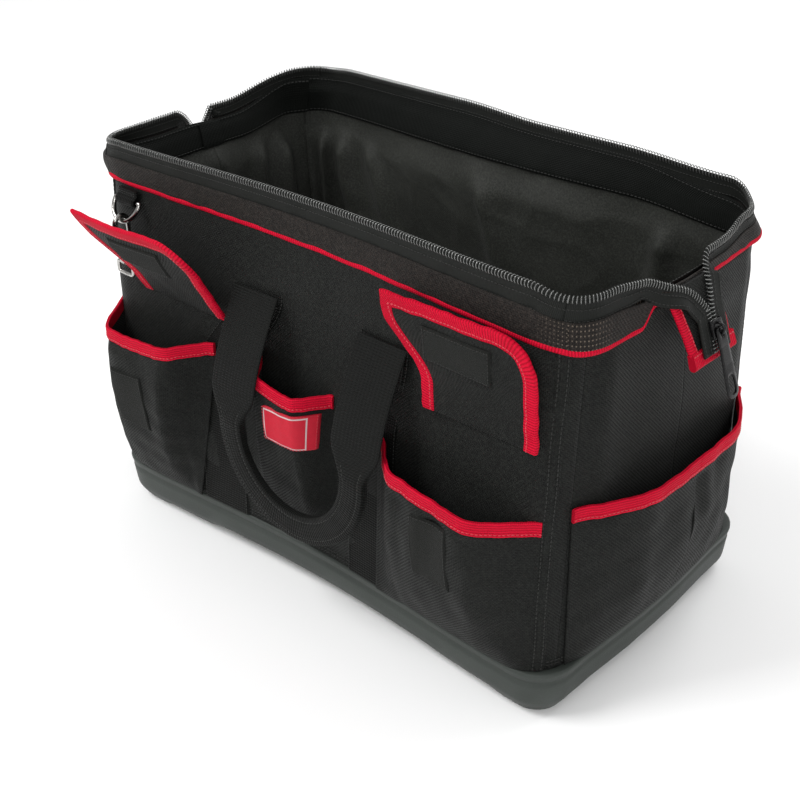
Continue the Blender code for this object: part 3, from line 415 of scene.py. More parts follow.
def cloth_finish(name, dark, light, pitch, depth=0.00022, roughness=0.66, sheen=0.03, fade=0.30,
                 wrinkle=0.0035, wrinkle_size=0.07):
    """Woven cloth: threads painted light on top and dark between them, painted shade in the weave's hollows,
    fibres, slow patches of wear and soft wrinkles.
    """
    finish = Finish(name, roughness=roughness, sheen=sheen, specular=0.15)
    finish.shader.inputs["Sheen Roughness"].default_value = 0.45
    threads = woven(finish, pitch)
    fibre = finish.ramp(finish.noise(pitch * 0.8, detail=2.0), 0.35, 0.75)
    blotches = finish.noise(0.06, detail=4.0)
    speck = finish.ramp(finish.noise(pitch * 1.7, detail=1.0), 0.40, 0.70)
    # The threads' height darkens the colour between them: painted shade in the weave's hollows.
    share = threads * 0.42 + fibre * 0.40 + speck * 0.42 - 0.24 + (blotches - 0.5) * fade
    finish.colour(finish.mix(share, dark, light))
    finish.roughness(roughness - 0.12 + threads * 0.14)
    wrinkles = finish.noise(wrinkle_size, detail=2.0, roughness=0.4)
    finish.relief((threads + fibre * 0.5) * depth + wrinkles * wrinkle, 1.0)
    return finish


lining_cloth = cloth_finish("lining_cloth", lining_dark, lining_light, 0.0008, depth=0.00012, roughness=0.46,
                           wrinkle=0.020, wrinkle_size=0.11)
board_plan = tray_plan(board_inset)
board_rows = []
for share in (0.0, 0.25, 0.5, 0.7, 0.85, 0.94, 0.985, 1.0):
    plan = board_plan * share
    drop = board_round * (1 - np.sqrt(max(0.0, 1 - max(0.0, share - 0.97) ** 2 / 0.03 ** 2)))
    high = board_high + board_crown * (1 - share ** 2) - drop
    wrinkle = 0.0007 * creases(plan[:, 0], plan[:, 1], 11, 0.11) * share * (1 - share) * 4
    board_rows.append(np.column_stack([plan, high + wrinkle]))
board_rows.append(np.column_stack([board_plan, np.full(len(board_plan), board_low)]))
board_run = np.array(board_rows)[..., :2]
board = solid_skin("bottom_board_cover", board_rows, lining_cloth,
                   spread=np.concatenate([board_run, board_run[:, :1]], 1))
mount(board, "base", "bottom_board")


# Long walls
# The front and the back are one piece of coarse black polyester each, laid over a stiffener. They draw
# in a little along their middle and turn round the corners, and they are sewn to the tray's groove.
wall_half_length, wall_half_depth = 0.2335, 0.1335
wall_foot, wall_top = 0.0418, 0.2962
wall_taper, end_flare, taper_foot, taper_rise = 0.012, 0.003, 0.0415, 0.2575
corner_step = 0.0055
wall_turn = np.radians(70)
cloth_thickness = 0.0012
black_dark, black_light = (0.0005, 0.0006, 0.0005), (0.0132, 0.0150, 0.0125)
wall_ripple = 0.0013
foot_rows = {"lower": 0.0036, "upper": 0.0064}
sway_foot, sway_rise = 0.2965, 0.0290

black_cloth = cloth_finish("black_cloth", black_dark, black_light, 0.0014, depth=0.00030)


def lean_at(z):
    """How far the long walls have leaned in at a height."""
    return wall_taper * (z - taper_foot) / taper_rise


def flare_at(z):
    """How far the ends stand out beyond the tray at a height."""
    return end_flare * (z - taper_foot) / taper_rise


def long_wall(share, turn, z, out=0.0, step=corner_step):
    """A place on the front wall: share runs -1 to 1 along the straight, turn is the way round a corner,
    and out is the distance off the wall's outer face."""
    straight = wall_half_length + flare_at(z) - step - corner_radius
    centre = -(wall_half_depth - lean_at(z)) + corner_radius
    radius = corner_radius + out
    x = share * straight + radius * np.sin(turn)
    y = centre - radius * np.cos(turn) + pinch_at(share * straight, straight)
    return joined(x, y, z)


def swayed(grid):
    """The soft mouth isn't level. Its top edge moves fully and its foot hardly at all: the back stands out
    and up along its middle, the right end and its corners are pulled in and down by the zip, the left end
    stands up beside its tail. Its foot sags along the front towards the right, and the band at the left
    corner puffs out."""
    grid = np.array(grid, float)
    x, y, z = grid[..., 0].copy(), grid[..., 1].copy(), grid[..., 2].copy()
    high = eased((z - sway_foot) / sway_rise)
    back, corner = eased((y - 0.03) / 0.06), eased((np.abs(y) - 0.03) / 0.07)
    middle = (1 - np.clip(np.abs(x) / 0.20, 0, 1) ** 2) ** 2
    right, left = eased((x - 0.197) / 0.035), eased((-x - 0.205) / 0.030)
    grid[..., 0] += high * corner * (0.009 * eased((-x - 0.14) / 0.07) * back - 0.004 * right)
    grid[..., 1] += high * (back * (0.008 * middle - 0.007 * right) + 0.003 * right * corner * (1 - back))
    grid[..., 2] += high * (0.004 * back * (eased((0.19 - x) / 0.08)
                                            + eased((0.03 - x) / 0.08) * eased((x + 0.235) / 0.05))
                            - right * (0.0072 + 0.0036 * eased((0.085 - np.abs(y)) / 0.04))
                            - left * (0.0045 + 0.0035 * eased((y + 0.02) / 0.03)
                                      - 0.0110 * eased((y - 0.02) / 0.075)))
    sag = 0.009 * np.clip((x + 0.25) / 0.47, 0, 1) + 0.004 * eased((x - 0.21) / 0.025)
    grid[..., 2] -= sag * eased((-y - 0.043) / 0.014) * (1 - high)
    puff = np.sin(np.pi * np.clip((z - 0.299) / 0.022, 0, 1))
    grid[..., 0] -= 0.007 * puff * eased((-x - 0.205) / 0.025) * eased((-y - 0.05) / 0.05)
    return grid


def wall_columns(turn, straight_count=150, corner_count=14):
    """Shares and turns of the columns from the left corner, along the straight, to the right corner."""
    arc = np.linspace(0, turn, corner_count)[1:]
    share = np.concatenate([-np.ones(len(arc)), np.linspace(-1, 1, straight_count), np.ones(len(arc))])
    return share, np.concatenate([-arc[::-1], np.zeros(straight_count), arc])


def turned(grid, side):
    """The same places on the other side of the bag."""
    return np.asarray(grid) * np.array([side, side, 1.0])


def wall_sides():
    """The front wall as it is, and the back wall turned round."""
    return (("front", 1), ("back", -1))


def held_down(share_up):
    """Nothing where a sheet is sewn down along its foot and its top, and 1 in its middle."""
    return eased(share_up / 0.12) * eased((1 - share_up) / 0.12)


def up_wall(height):
    """A height as a share of the wall's."""
    return (height - wall_foot) / (wall_top - wall_foot)


def picked(spots, run, values):
    """The values along a path at other distances along it."""
    return np.stack([np.interp(spots, run, column) for column in values.T], 1)


def round_turns(count):
    """As many even turns round a circle."""
    return np.linspace(0, 2 * np.pi, count + 1)[:-1]


def unit(ways):
    """The same ways, one metre long."""
    return ways / (np.linalg.norm(ways, axis=-1, keepdims=True) + 1e-12)


def squared_off(ways, along):
    """Each way turned square to a path's own way."""
    return unit(ways - along * np.sum(ways * along, 1, keepdims=True))


def stitches(name, path, out, thread, pitch=0.0034, thickness=0.00045):
    """A row of sewn stitches along a path: short threads with pointed ends, half sunk in the cloth. Each
    is two rings of six points and two tips, and out is the way that the cloth faces at each point."""
    path, out = np.asarray(path, float), np.asarray(out, float)
    run = run_along(path)
    spots = np.arange(pitch / 2, run[-1], pitch)
    place = picked(spots, run, path)
    along = unit(picked(spots + pitch / 4, run, path) - picked(spots - pitch / 4, run, path))
    up = squared_off(picked(spots, run, out), along)
    side = np.cross(along, up)
    turn = round_turns(6)
    ring = joined(np.cos(turn), np.sin(turn)) * thickness
    rows = [(-0.42, 0.02), (-0.22, 1.0), (0.22, 1.0), (0.42, 0.02)]
    points = np.stack([place[:, None] + along[:, None] * pitch * reach
                       + side[:, None] * ring[None, :, :1] * size + up[:, None] * ring[None, :, 1:] * size
                       for reach, size in rows], 1)
    count = len(spots)
    base = (np.arange(count) * 24)[:, None, None] + (np.arange(3) * 6)[None, :, None] + np.arange(6)
    after = base - np.arange(6) + (np.arange(6) + 1) % 6
    faces = np.stack([base, after, after + 6, base + 6], -1).reshape(-1, 4)
    return meshed(name, points, faces.tolist(), thread)


black_thread = Finish("black_thread", "black_cloth", roughness=0.45, specular=0.3)
black_thread.colour(black_thread.mix(black_thread.noise(0.0006), (0.003, 0.003, 0.003),
                                     (0.026, 0.027, 0.024)))
share, turn = wall_columns(wall_turn)
height = np.linspace(wall_foot, wall_top, 90)[:, None]
flat_run = long_wall(share, turn, height)[..., 0]
for word, side in wall_sides():
    seed = 20 if side > 0 else 40
    wave = ripple(flat_run, height, seed, 0.10) + 0.6 * creases(flat_run, height, seed + 1, 0.16)
    at_corner = eased((np.radians(72) - np.abs(turn)) / np.radians(30))
    out = wall_ripple * held_down(up_wall(height)) * (1.0 + wave) * at_corner
    rows = turned(long_wall(share, turn, height, out), side)
    shell = skin(word + "_wall_cloth", rows, black_cloth, thickness=cloth_thickness)
    mount(shell, word + "_wall", word + "_shell")
    for line, low in foot_rows.items():
        path = turned(long_wall(share, turn, np.full(len(share), wall_foot + low), 0.0003), side)
        way = turned(long_wall(share, turn, np.full(len(share), wall_foot), 1.0), side) - path
        row = stitches(f"{word}_wall_{line}_foot_stitches", path, way, black_thread)
        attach(row, word + "_wall")


# Corner seams
# Where a long wall meets an end, both cloths are folded and top-stitched twice, which leaves a flat
# raised welt that runs from the tray to the piping on each of the four corners.
welt_turn, welt_width, welt_rise, welt_thickness = np.radians(42), 0.0100, 0.0016, 0.0008
seam_stitch_inset = 0.0022

welt_share = np.linspace(-1, 1, 13)
welt_height = np.linspace(wall_foot + 0.0002, wall_top - 0.0004, 70)[:, None]
for word, side in wall_sides():
    for corner, hand in (("left", -1), ("right", 1)):
        arc = hand * welt_turn + welt_share * welt_width / 2 / corner_radius
        pucker = 0.00022 * np.sin(welt_height * 2 * np.pi / 0.0068 + np.cos(welt_height * 90)) \
            * (1 - np.abs(welt_share) ** 2)
        swell = np.clip(1 - welt_share ** 6, 0, 1) ** 0.5 * welt_rise * (
            1 - 0.25 * np.exp(-((np.abs(welt_share) - 0.55) / 0.16) ** 2))
        bend = 0.0008 * ripple(welt_height, welt_height * 0, 60 + hand, 0.09) / corner_radius
        rows = long_wall(hand * 1.0, arc + bend, welt_height, 0.0002 + swell + pucker)
        welt = skin(f"{word}_{corner}_corner_seam", turned(rows, side), black_cloth,
                    thickness=welt_thickness)
        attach(welt, word + "_wall")
        for line, place in (("inner", -1), ("outer", 1)):
            turn_at = hand * welt_turn + place * (welt_width / 2 - seam_stitch_inset) / corner_radius
            path = long_wall(hand * 1.0, turn_at + bend[:, 0], welt_height[:, 0], 0.0002 + welt_rise * 0.8)
            way = long_wall(hand * 1.0, turn_at, welt_height[:, 0], 1.0) - path
            row = stitches(f"{word}_{corner}_{line}_seam_stitches", turned(path, side), turned(way, side),
                           black_thread)
            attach(row, word + "_wall")


# End walls
# Each end is a bellied piece of the same cloth without a stiffener. Its middle is sewn to the tray and
# to the zip. Its two halves stay where they are made; nothing moves their sides with the long walls.
end_blend_start, end_blend_end = 0.030, 0.108
end_reach = wall_half_depth - corner_radius * (1 - np.cos(wall_turn))
end_meet = 0.078
end_ripple = 0.0011


def end_wall(reach, z, out=0.0):
    """A place on the right end: reach runs from -1 at the front corner to 1 at the back one. Outside
    end_meet it curves over to the corner of the long wall, by a cubic that keeps both ways."""
    half = end_reach - lean_at(z)
    y = reach * half
    plain = wall_half_length + flare_at(z) + belly_at(y, wall_half_depth - corner_radius)
    corner = wall_half_length + flare_at(z) - corner_step - corner_radius * (1 - np.sin(wall_turn))
    past = np.clip((np.abs(y) - end_meet) / (half - end_meet), 0, 1)
    slope = -(half - end_meet) / np.tan(wall_turn)
    meet = wall_half_length + flare_at(z) + belly_at(end_meet, wall_half_depth - corner_radius)
    bent = (meet * (1 - eased(past)) + corner * eased(past) + slope * (past ** 3 - past ** 2))
    x = np.where(past > 0, bent, plain) + out
    return joined(x, y, z)


def end_halves():
    """The four half ends: the end's word and side, the half's word, and where its columns run."""
    for word, side in (("right", 1), ("left", -1)):
        for half, hand in (("front", -side), ("back", side)):
            yield word, side, half, hand, half + "_wall"


def sewn_between(piece, side, hand, wall, *nodes):
    """A half end, baked in place: its transform goes into its mesh and nothing carries it. It stands in
    for the nodes named, if any."""
    hand * side * end_blend_start
    hand * side * end_blend_end
    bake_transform(piece)
    for node in nodes:
        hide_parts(node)


height = np.linspace(wall_foot, wall_top, 90)[:, None]
for word, side, half, hand, wall in end_halves():
    reach = (np.linspace(0, 1, 60) * hand)[::hand]
    seed = 70 if side > 0 else 90
    y = reach * end_reach
    wave = ripple(y, height, seed, 0.11) + 0.8 * creases(y, height, seed + 1, 0.17)
    out = end_ripple * held_down(up_wall(height)) * (1.0 + wave) * eased((1 - np.abs(reach)) / 0.2)
    rows = turned(end_wall(reach, height, out), side)
    cloth = skin(f"{word}_end_cloth_{half}", rows, black_cloth, thickness=cloth_thickness)
    sewn_between(cloth, side, hand, wall, word + "_end_shell")
    for line, low in foot_rows.items():
        path = end_wall(reach, np.full(len(reach), wall_foot + low), 0.0003)
        way = np.broadcast_to([1.0, 0, 0], path.shape)
        row = stitches(f"{word}_end_{line}_foot_stitches_{half}", turned(path, side), turned(way, side),
                       black_thread)
        sewn_between(row, side, hand, wall)


# Lining
# The inside is a thinner, duller black cloth than the outside. It hangs loose from the zip seam down to
# the tray, with soft creases, and a band of webbing is sewn round it under the mouth.
lining_out = -(cloth_thickness + 0.0003 + 0.0020 + 0.0003)
end_lining_out = -(cloth_thickness + 0.0003)
lining_thickness, lining_slack = 0.0010, 0.0085
band_low, band_high, band_thickness = 0.2865, 0.3125, 0.0013
band_rise, band_seam_inset, corner_tuck, seam_rise = 0.009, 0.0022, 0.0040, 0.0002
band_seams = {"lower": band_low + band_seam_inset, "upper": band_high - band_seam_inset}


def slack_cloth(first, second, seed):
    """How far loose lining stands off its wall, from 0 to about 1.5: broad swells and sharper creases."""
    broad = 0.5 + 0.40 * ripple(first, second * 0.7, seed, 0.16)
    sharp = creases(first, second * 0.45, seed + 3, 0.15)
    fine = creases(first, second, seed + 5, 0.07)
    return np.clip(broad, 0.05, 1.2) + 0.50 * sharp + 0.12 * fine


def falls(along, up, places):
    """Soft ridges that fall from under the band: for each, where it starts, how far it drifts on its way
    down and its height. Each is a bell across its line, wider towards its foot, and fades out there."""
    down = 1 - up
    bells = [size * np.exp(-((along - start - drift * down) / (0.006 + 0.016 * down)) ** 2)
             for start, drift, size in places]
    return sum(bells) * eased(up / 0.35) * eased((down - 0.05) / 0.09)


wall_falls = {"front": ((0.15, 0.03, 0.7), (-0.12, -0.04, 0.8)),
              "back": ((0.214, -0.008, 1.5), (0.190, -0.050, 1.3), (0.160, -0.085, 0.8), (0.02, -0.05, 0.6),
                       (-0.155, 0.03, 0.9), (-0.205, 0.01, 1.1))}
end_falls = {"left_back": ((-0.086, 0.022, 1.4), (-0.060, 0.040, 1.0)), "left_front": ((0.070, -0.02, 0.8),),
             "right_back": ((0.080, -0.02, 0.9),), "right_front": ((-0.070, 0.02, 0.8),)}


def webbing_finish(name, dark, light, rib, ribs_along=True, depth=0.00035, slot="webbing"):
    """Woven webbing: ribs across its run with a finer thread along it. Their tops are painted lighter and
    their hollows darker: painted shade in the weave.
    """
    finish = Finish(name, slot, roughness=0.62, sheen=0.02, specular=0.12)
    finish.shader.inputs["Sheen Roughness"].default_value = 0.4
    first, second = finish.run()
    if not ribs_along:
        first, second = second, first
    ribs = first.ribs(rib)
    thread = second.wave(rib * 0.9) * 0.45
    fibre = finish.noise(rib * 0.6, detail=2.0)
    blotches = finish.noise(0.05, detail=3.0)
    # Ribs and thread darken the colour in their hollows: painted shade.
    share = ribs * 0.42 + thread * 0.5 + fibre * 0.28 + (blotches - 0.5) * 0.3
    finish.colour(finish.mix(share, dark, light))
    finish.relief(ribs + thread + fibre * 0.3, depth)
    return finish


band_webbing = webbing_finish("band_webbing", (0.0006, 0.0009, 0.0007), (0.0060, 0.0074, 0.0061), 0.0016)
share, turn = wall_columns(wall_turn)
height = np.linspace(wall_foot, wall_top, 100)[:, None]
band_height = np.linspace(band_low, band_high, 12)[:, None]
flat_run = long_wall(share, turn, height)[..., 0]


def band_place(grid, side):
    """The band's place on its own side of the bag. At the back it is sewn higher, up on the zip tape."""
    grid = turned(grid, side)
    rise = band_rise * eased((grid[..., 1] - 0.03) / 0.06) * eased((0.215 - grid[..., 0]) / 0.10)
    return swayed(grid + rise[..., None] * np.array([0, 0, 1.0]))


def band_step(height):
    """How far the long walls' band is held back at the corners: as the wall at its foot, and hardly at its
    top, where the zip tape runs round the corner."""
    return np.interp(height, [0.3035, 0.3080], [corner_step, 0.0012])


def band_inset(height):
    """How deep the band's back lies: on the lining at its foot, over the piping, and on the zip tape at
    its top."""
    return np.interp(height, [0.2865, 0.2965, 0.3020, 0.3070, 0.3200],
                     [0.0066, 0.0050, 0.0042, 0.0026, 0.0017])


def band_edge(height):
    """The band's thickness as a share: full over its width and nothing at its two edges, 1 - s^10."""
    return 1 - np.clip(2 * (height - band_low) / (band_high - band_low) - 1, -1, 1) ** 10


for word, side in wall_sides():
    seed = 110 if side > 0 else 130
    up = up_wall(height)
    loose = slack_cloth(flat_run, height, seed) * held_down(up)
    loose = loose * (1 - 0.5 * eased((np.abs(turn) - np.radians(20)) / np.radians(50)))
    loose = loose + falls(flat_run, up, wall_falls[word])
    rows = long_wall(share, turn, height, lining_out - loose * lining_slack)[::-1]
    lining = skin(word + "_wall_lining", turned(rows, side), lining_cloth, thickness=lining_thickness)
    lining.modifiers["thickness"].offset = 1.0
    mount(lining, word + "_wall", word + "_lining")
    wave = 0.0003 * ripple(flat_run[:1], band_height, seed + 9, 0.03)
    depth = -band_inset(band_height) - wave
    depth = depth - band_thickness * band_edge(band_height)
    rows = long_wall(share, turn, band_height, depth, band_step(band_height))[::-1]
    band = skin(word + "_inner_band", band_place(rows, side), band_webbing)
    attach(band, word + "_wall")
    for line, level in band_seams.items():
        level = np.full(len(share), level)
        path = long_wall(share, turn, level, -band_inset(level) - band_thickness - seam_rise,
                         band_step(level))
        way = long_wall(share, turn, level, -1.0, band_step(level)) - path
        row = stitches(f"{word}_band_{line}_stitches", band_place(path, side), turned(way, side),
                       black_thread)
        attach(row, word + "_wall")

for word, side, half, hand, wall in end_halves():
    reach = (np.linspace(0, 1, 50) * hand)[::hand]
    seed = 150 if side > 0 else 170
    y = reach * end_reach
    up = up_wall(height)
    loose = slack_cloth(y, height, seed) * held_down(up) * eased((1.02 - np.abs(reach)) / 0.25)
    loose = loose + falls(y, up, end_falls[f"{word}_{half}"])
    tuck = corner_tuck * eased((np.abs(reach) - 0.80) / 0.20)
    rows = end_wall(reach, height, end_lining_out - tuck - loose * lining_slack * 1.2)[::-1]
    lining = skin(f"{word}_end_lining_{half}", turned(rows, side), lining_cloth, thickness=lining_thickness)
    lining.modifiers["thickness"].offset = 1.0
    sewn_between(lining, side, hand, wall, word + "_end_lining")
    depth = -band_inset(band_height) - tuck * 0.6 - band_thickness * band_edge(band_height)
    rows = end_wall(reach, band_height, depth)[::-1]
    band = skin(f"{word}_end_band_{half}", band_place(rows, side), band_webbing)
    sewn_between(band, side, hand, wall)
    for line, level in band_seams.items():
        level = np.full(len(reach), level)
        path = end_wall(reach, level, -band_inset(level) - tuck * 0.6 - band_thickness - seam_rise)
        way = np.broadcast_to([-1.0, 0, 0], path.shape)
        row = stitches(f"{word}_end_band_{line}_stitches_{half}", band_place(path, side), turned(way, side),
                       black_thread)
        sewn_between(row, side, hand, wall)

overlap_half, overlap_rise = 0.0130, 0.0014
lap_y = np.linspace(-overlap_half, overlap_half, 12) / end_reach
depth = -band_inset(band_height) - band_thickness - overlap_rise * band_edge(band_height)
rows = end_wall(lap_y, band_height, depth)[::-1]
lap = skin("left_end_band_overlap", band_place(rows, -1), band_webbing)
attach(lap, "base")


# Pockets
# Each pocket is one bulged sheet of the wall's cloth, sewn down along its sides and foot, with soft
# folds that run down from its mouth. Red grosgrain tape is folded over the mouth and sewn through.
pocket_gap = 0.0009
binding_width, binding_thickness, red_pitch = 0.011, 0.0030, 0.0030
pocket_side_share, pocket_fullness = 0.28, 0.80
strap_width, strap_thickness, strap_margin, clearance = 0.050, 0.0016, 0.004, 0.0003
left_strap_x, right_strap_x = -0.095, 0.064
fold_depth, stuffed_share = 0.0036, {"centre_pocket": 0.3}


def ribbon_finish(name, dark, light, rib=0.0019, depth=0.00045):
    """Grosgrain tape: fine ribs across its run, their tops painted lighter as painted highlight and
    their hollows darker as painted shade, with a little fraying and blotches of painted crease shade.
    """
    finish = Finish(name, roughness=0.62, sheen=0.0, specular=0.08)
    finish.shader.inputs["Sheen Roughness"].default_value = 0.4
    first, second = finish.run()
    ribs = first.ribs(rib)
    thread = second.wave(rib * 0.7)
    fibre = finish.noise(rib * 0.7, detail=2.0)
    blotches = finish.noise(0.03, detail=3.0)
    # The ribs paint a highlight on their tops, and the noise blotches paint the shade of creases darker.
    share = ribs * 0.62 + thread * 0.05 + fibre * 0.28 + (blotches - 0.5) * 0.60 + 0.10
    finish.colour(finish.mix(share, dark, light))
    finish.relief(ribs + thread * 0.3 + fibre * 0.4, depth)
    return finish


def swell(across, up, bulge):
    """How far a pocket stands off its wall: nothing at its sides and foot, most at its mouth."""
    side = eased(np.minimum(across, 1 - across) / pocket_side_share)
    return bulge * side * (1 - (1 - up) ** 2) ** pocket_fullness


def strap_lift(x):
    """Cloth over a strap rises by the strap's thickness."""
    past = np.minimum(np.abs(x - left_strap_x), np.abs(x - right_strap_x)) - strap_width / 2 - strap_margin
    return (strap_thickness + clearance) * eased(1 - past / (2 * strap_margin))


def off_front(x, z, off):
    """A place off the front wall: straight along it, then round its corner."""
    straight = wall_half_length + flare_at(z) - corner_step - corner_radius
    face = -(wall_half_depth - lean_at(z)) + pinch_at(x, straight)
    past = np.clip(np.abs(x) - straight, 0, corner_radius * 0.9999)
    face = face + corner_radius - np.sqrt(corner_radius ** 2 - past ** 2)
    return joined(x, face - off, z)


def over_strap(x, z, off):
    """A place off the front wall, over its straps where they run."""
    return off_front(x, z, off + strap_lift(x))


def over_both(x, z, off):
    """A place off the wall, a strap's thickness out all along it."""
    return off_front(x, z, off + strap_thickness + clearance)


def off_end(y, z, off):
    """A place off the right end."""
    return end_wall(y / (end_reach - lean_at(z)), z, off)


def bag_outline(left_top, left_low, right_top, right_low, foot, mouth, sag, tilt=0.0):
    """A pocket whose sides run straight from foot to mouth. Its mouth sags in its middle and drops
    towards its right."""
    def outline(share, up):
        left = left_low + (left_top - left_low) * up
        right = right_low + (right_top - right_low) * up
        rim = mouth - binding_width - sag * np.sin(np.pi * share) - tilt * share
        return left + (right - left) * share, foot + (rim - foot) * up
    return outline


centre_left, centre_right, centre_low, centre_mouth = -0.062, 0.034, 0.056, 0.196
centre_narrowing, round_share, mouth_sag, centre_tilt = 0.018, 0.96, 0.005, 0.014


def pouch_outline(share, up):
    """The centre pocket narrows a little to its mouth, and its foot is a half round."""
    half = (centre_right - centre_left) / 2
    place = 2 * share - 1
    foot = centre_low + half * (1 - np.sqrt(np.clip(1 - (round_share * place) ** 2, 0, 1)))
    rim = centre_mouth - binding_width - mouth_sag * np.cos(np.pi / 2 * place) - centre_tilt * (share - 0.3)
    x = (centre_left + centre_right) / 2 + (half - centre_narrowing / 2 * up) * place
    return x, foot + (rim - foot) * up


def carried(path, side, out, profile):
    """A profile carried along a path: each of its points is path + side * first + out * second."""
    profile = np.asarray(profile, float)
    return path[:, None] + side[:, None] * profile[None, :, :1] + out[:, None] * profile[None, :, 1:]


def tape_profile(width, thickness, foot=0.72, count=7):
    """A tape folded over an edge, seen from its end: a round fold at its top and two legs that press
    together at its stitching and open a little at their foot."""
    turn = np.linspace(0, np.pi, count)
    fold = joined(width - thickness / 2 + np.sin(turn) * thickness / 2, np.cos(turn) * thickness / 2)
    leg = np.array([[0.0, foot / 3], [0.02, foot / 2], [0.12, 0.44], [0.20, 0.40], [0.40, 0.46],
                    [0.62, 0.47]]) * [width, thickness]
    return np.concatenate([leg, fold, leg[::-1] * [1, -1]])


def folds(share, up, seed, count):
    """Soft folds that fall from the mouth: a seeded wave along the mouth that dies towards the foot, and
    a broad dent or two."""
    wave = ripple(share * 1.0, up * 0.35, seed, 1.0 / count, 5)
    broad = ripple(share, up, seed + 5, 0.9, 4)
    return 0.65 * wave * eased(up * 1.6) + 0.55 * broad


red_tape = ribbon_finish("red_tape", (0.250, 0.0011, 0.009), (0.600, 0.0032, 0.028))
red_thread = Finish("red_thread", "red_tape", roughness=0.5, sheen=0.3)
red_thread.colour(red_thread.mix(red_thread.noise(0.0006), (0.30, 0.002, 0.012), (0.66, 0.006, 0.030)))
pocket_foot = wall_foot + clearance
pockets = {
    "left_pocket": (bag_outline(-0.224, -0.224, -0.099, -0.122, pocket_foot, 0.190, mouth_sag), over_strap,
                    0.029, "front_wall", 1, 210, (0.0, 1.0), (0.15, 0.15)),
    "centre_pocket": (pouch_outline, over_strap, 0.024, "front_wall", 1, 220, (0.0, 1.0), (0.115, 0.13)),
    "right_pocket": (bag_outline(0.073, 0.073, 0.217, 0.217, pocket_foot, 0.176, 0.0, 0.012), over_strap,
                     0.029, "front_wall", 1, 230, (0.0, 1.0), (0.165, 0.135)),
    "back_pocket": (bag_outline(-0.185, -0.185, 0.185, 0.185, pocket_foot, 0.175, mouth_sag), over_both,
                    0.015, "back_wall", -1, 240, (0.0, 1.0), (0.375, 0.133)),
}
end_outline = bag_outline(-0.108, -0.108, 0.108, 0.108, pocket_foot, 0.172, -0.001)
for word, side, half, hand, wall in end_halves():
    pockets[f"{word}_end_pocket_{half}"] = (end_outline, off_end, 0.020, wall, side,
                                            250 if side > 0 else 260,
                                            (0.0, 0.5) if hand < 0 else (0.5, 1.0), (0.12, 0.13))


def fasten(piece, wall, side, hand, *nodes):
    """A front or back piece, whose hand is 0, rides its wall. Half an end's is baked in place and rides
    nothing. It stands in for the nodes named, if any."""
    if hand:
        sewn_between(piece, side, hand, wall, *nodes)
    else:
        mount(piece, wall, *nodes)


def node_of(name, part=""):
    """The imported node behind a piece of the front, the back or half an end."""
    return (name.removesuffix("_front").removesuffix("_back") if "_end" in name else name) + part


for name, (outline, face, bulge, wall, side, seed, (first, last), flat) in pockets.items():
    depth = fold_depth * stuffed_share.get(name, 1.0)
    hand = 0 if "_end_" not in name else (-side if name.endswith("front") else side)
    columns = 60 if hand else (110 if name == "back_pocket" else 84)
    fold_count = 7 if "back" in name else 4
    share = np.linspace(first, last, columns)
    up = np.linspace(0, 1, 64)[:, None]
    run, z = outline(share, up)
    stand = pocket_gap + swell(share, up, bulge)
    fold = folds(share, up, seed, fold_count)
    free = np.clip(stand / bulge, 0, 1) * (1 - eased((up - 0.93) / 0.07) * 0.75)
    rest = 0.0006 * (1 + ripple(run, z, seed + 9, 0.03)) * eased(up / 0.06) \
        * eased(np.minimum(share, 1 - share) / 0.05)
    sheet = face(run, z, stand + cloth_thickness + depth * fold * free + rest)
    cloth = skin(name + "_cloth", turned(sheet, side), black_cloth, thickness=cloth_thickness)
    fasten(cloth, wall, side, hand, node_of(name))

    share = np.linspace(first, last, columns * 2)
    run, rim = outline(share, 1.0)
    stand = pocket_gap + swell(share, 1.0, bulge) + binding_thickness / 2
    stand = stand + depth * 0.25 * folds(share, 1.0, seed, fold_count) * swell(share, 1.0, 1.0)
    wave = 0.00035 * ripple(share * 0.2, share * 0, seed + 2, 0.012)
    path = turned(face(run, rim + wave, stand), side)
    bow = 0.0006 * ripple(run, run * 0, seed + 3, 0.04)
    up_way = unit(turned(face(run, rim + binding_width * 0.98, stand + bow), side) - path)
    out_way = unit(np.cross(np.gradient(path, axis=0), up_way))
    if np.sum(out_way * (turned(face(run, rim, stand + 1.0), side) - path)) < 0:
        out_way = -out_way
    profile = tape_profile(binding_width, binding_thickness)
    tape = solid_skin(name + "_binding", carried(path, up_way, out_way, profile), red_tape)
    fasten(tape, wall, side, hand, node_of(name, "_binding"))
    seam = path + up_way * binding_width * 0.20 + out_way * binding_thickness * 0.42
    row = stitches(name + "_binding_stitches", seam, out_way, red_thread, pitch=red_pitch)
    fasten(row, wall, side, hand)


# Hook-and-loop patches and label
# A patch of fuzzy loop tape is sewn on the left and on the right pocket, where the flaps close. The
# centre pocket carries a bare woven label, red with a pale border line.
patch_rise, patch_lift, fine_pitch, fine_thread = 0.0012, 0.0014, 0.0026, 0.00035
loop_width, loop_height, patch_top = 0.034, 0.052, 0.152
label_width, label_height, label_x, label_z = 0.043, 0.029, -0.003, 0.157
label_frame, label_line = 0.0019, 0.0006
patch_seam_inset, label_seam_inset, patch_thickness = 0.0018, 0.0009, 0.0006


def share_at(outline, x, z):
    """Where places on the wall lie in a pocket's outline: shares across and up, found by repeating."""
    across, up = np.full(np.shape(x), 0.5), np.full(np.shape(x), 0.5)
    for _ in range(40):
        left, low = outline(0.0, up)[0], outline(across, 0.0)[1]
        right, high = outline(1.0, up)[0], outline(across, 1.0)[1]
        across = (x - left) / (right - left)
        up = (z - low) / (high - low)
    return across, up


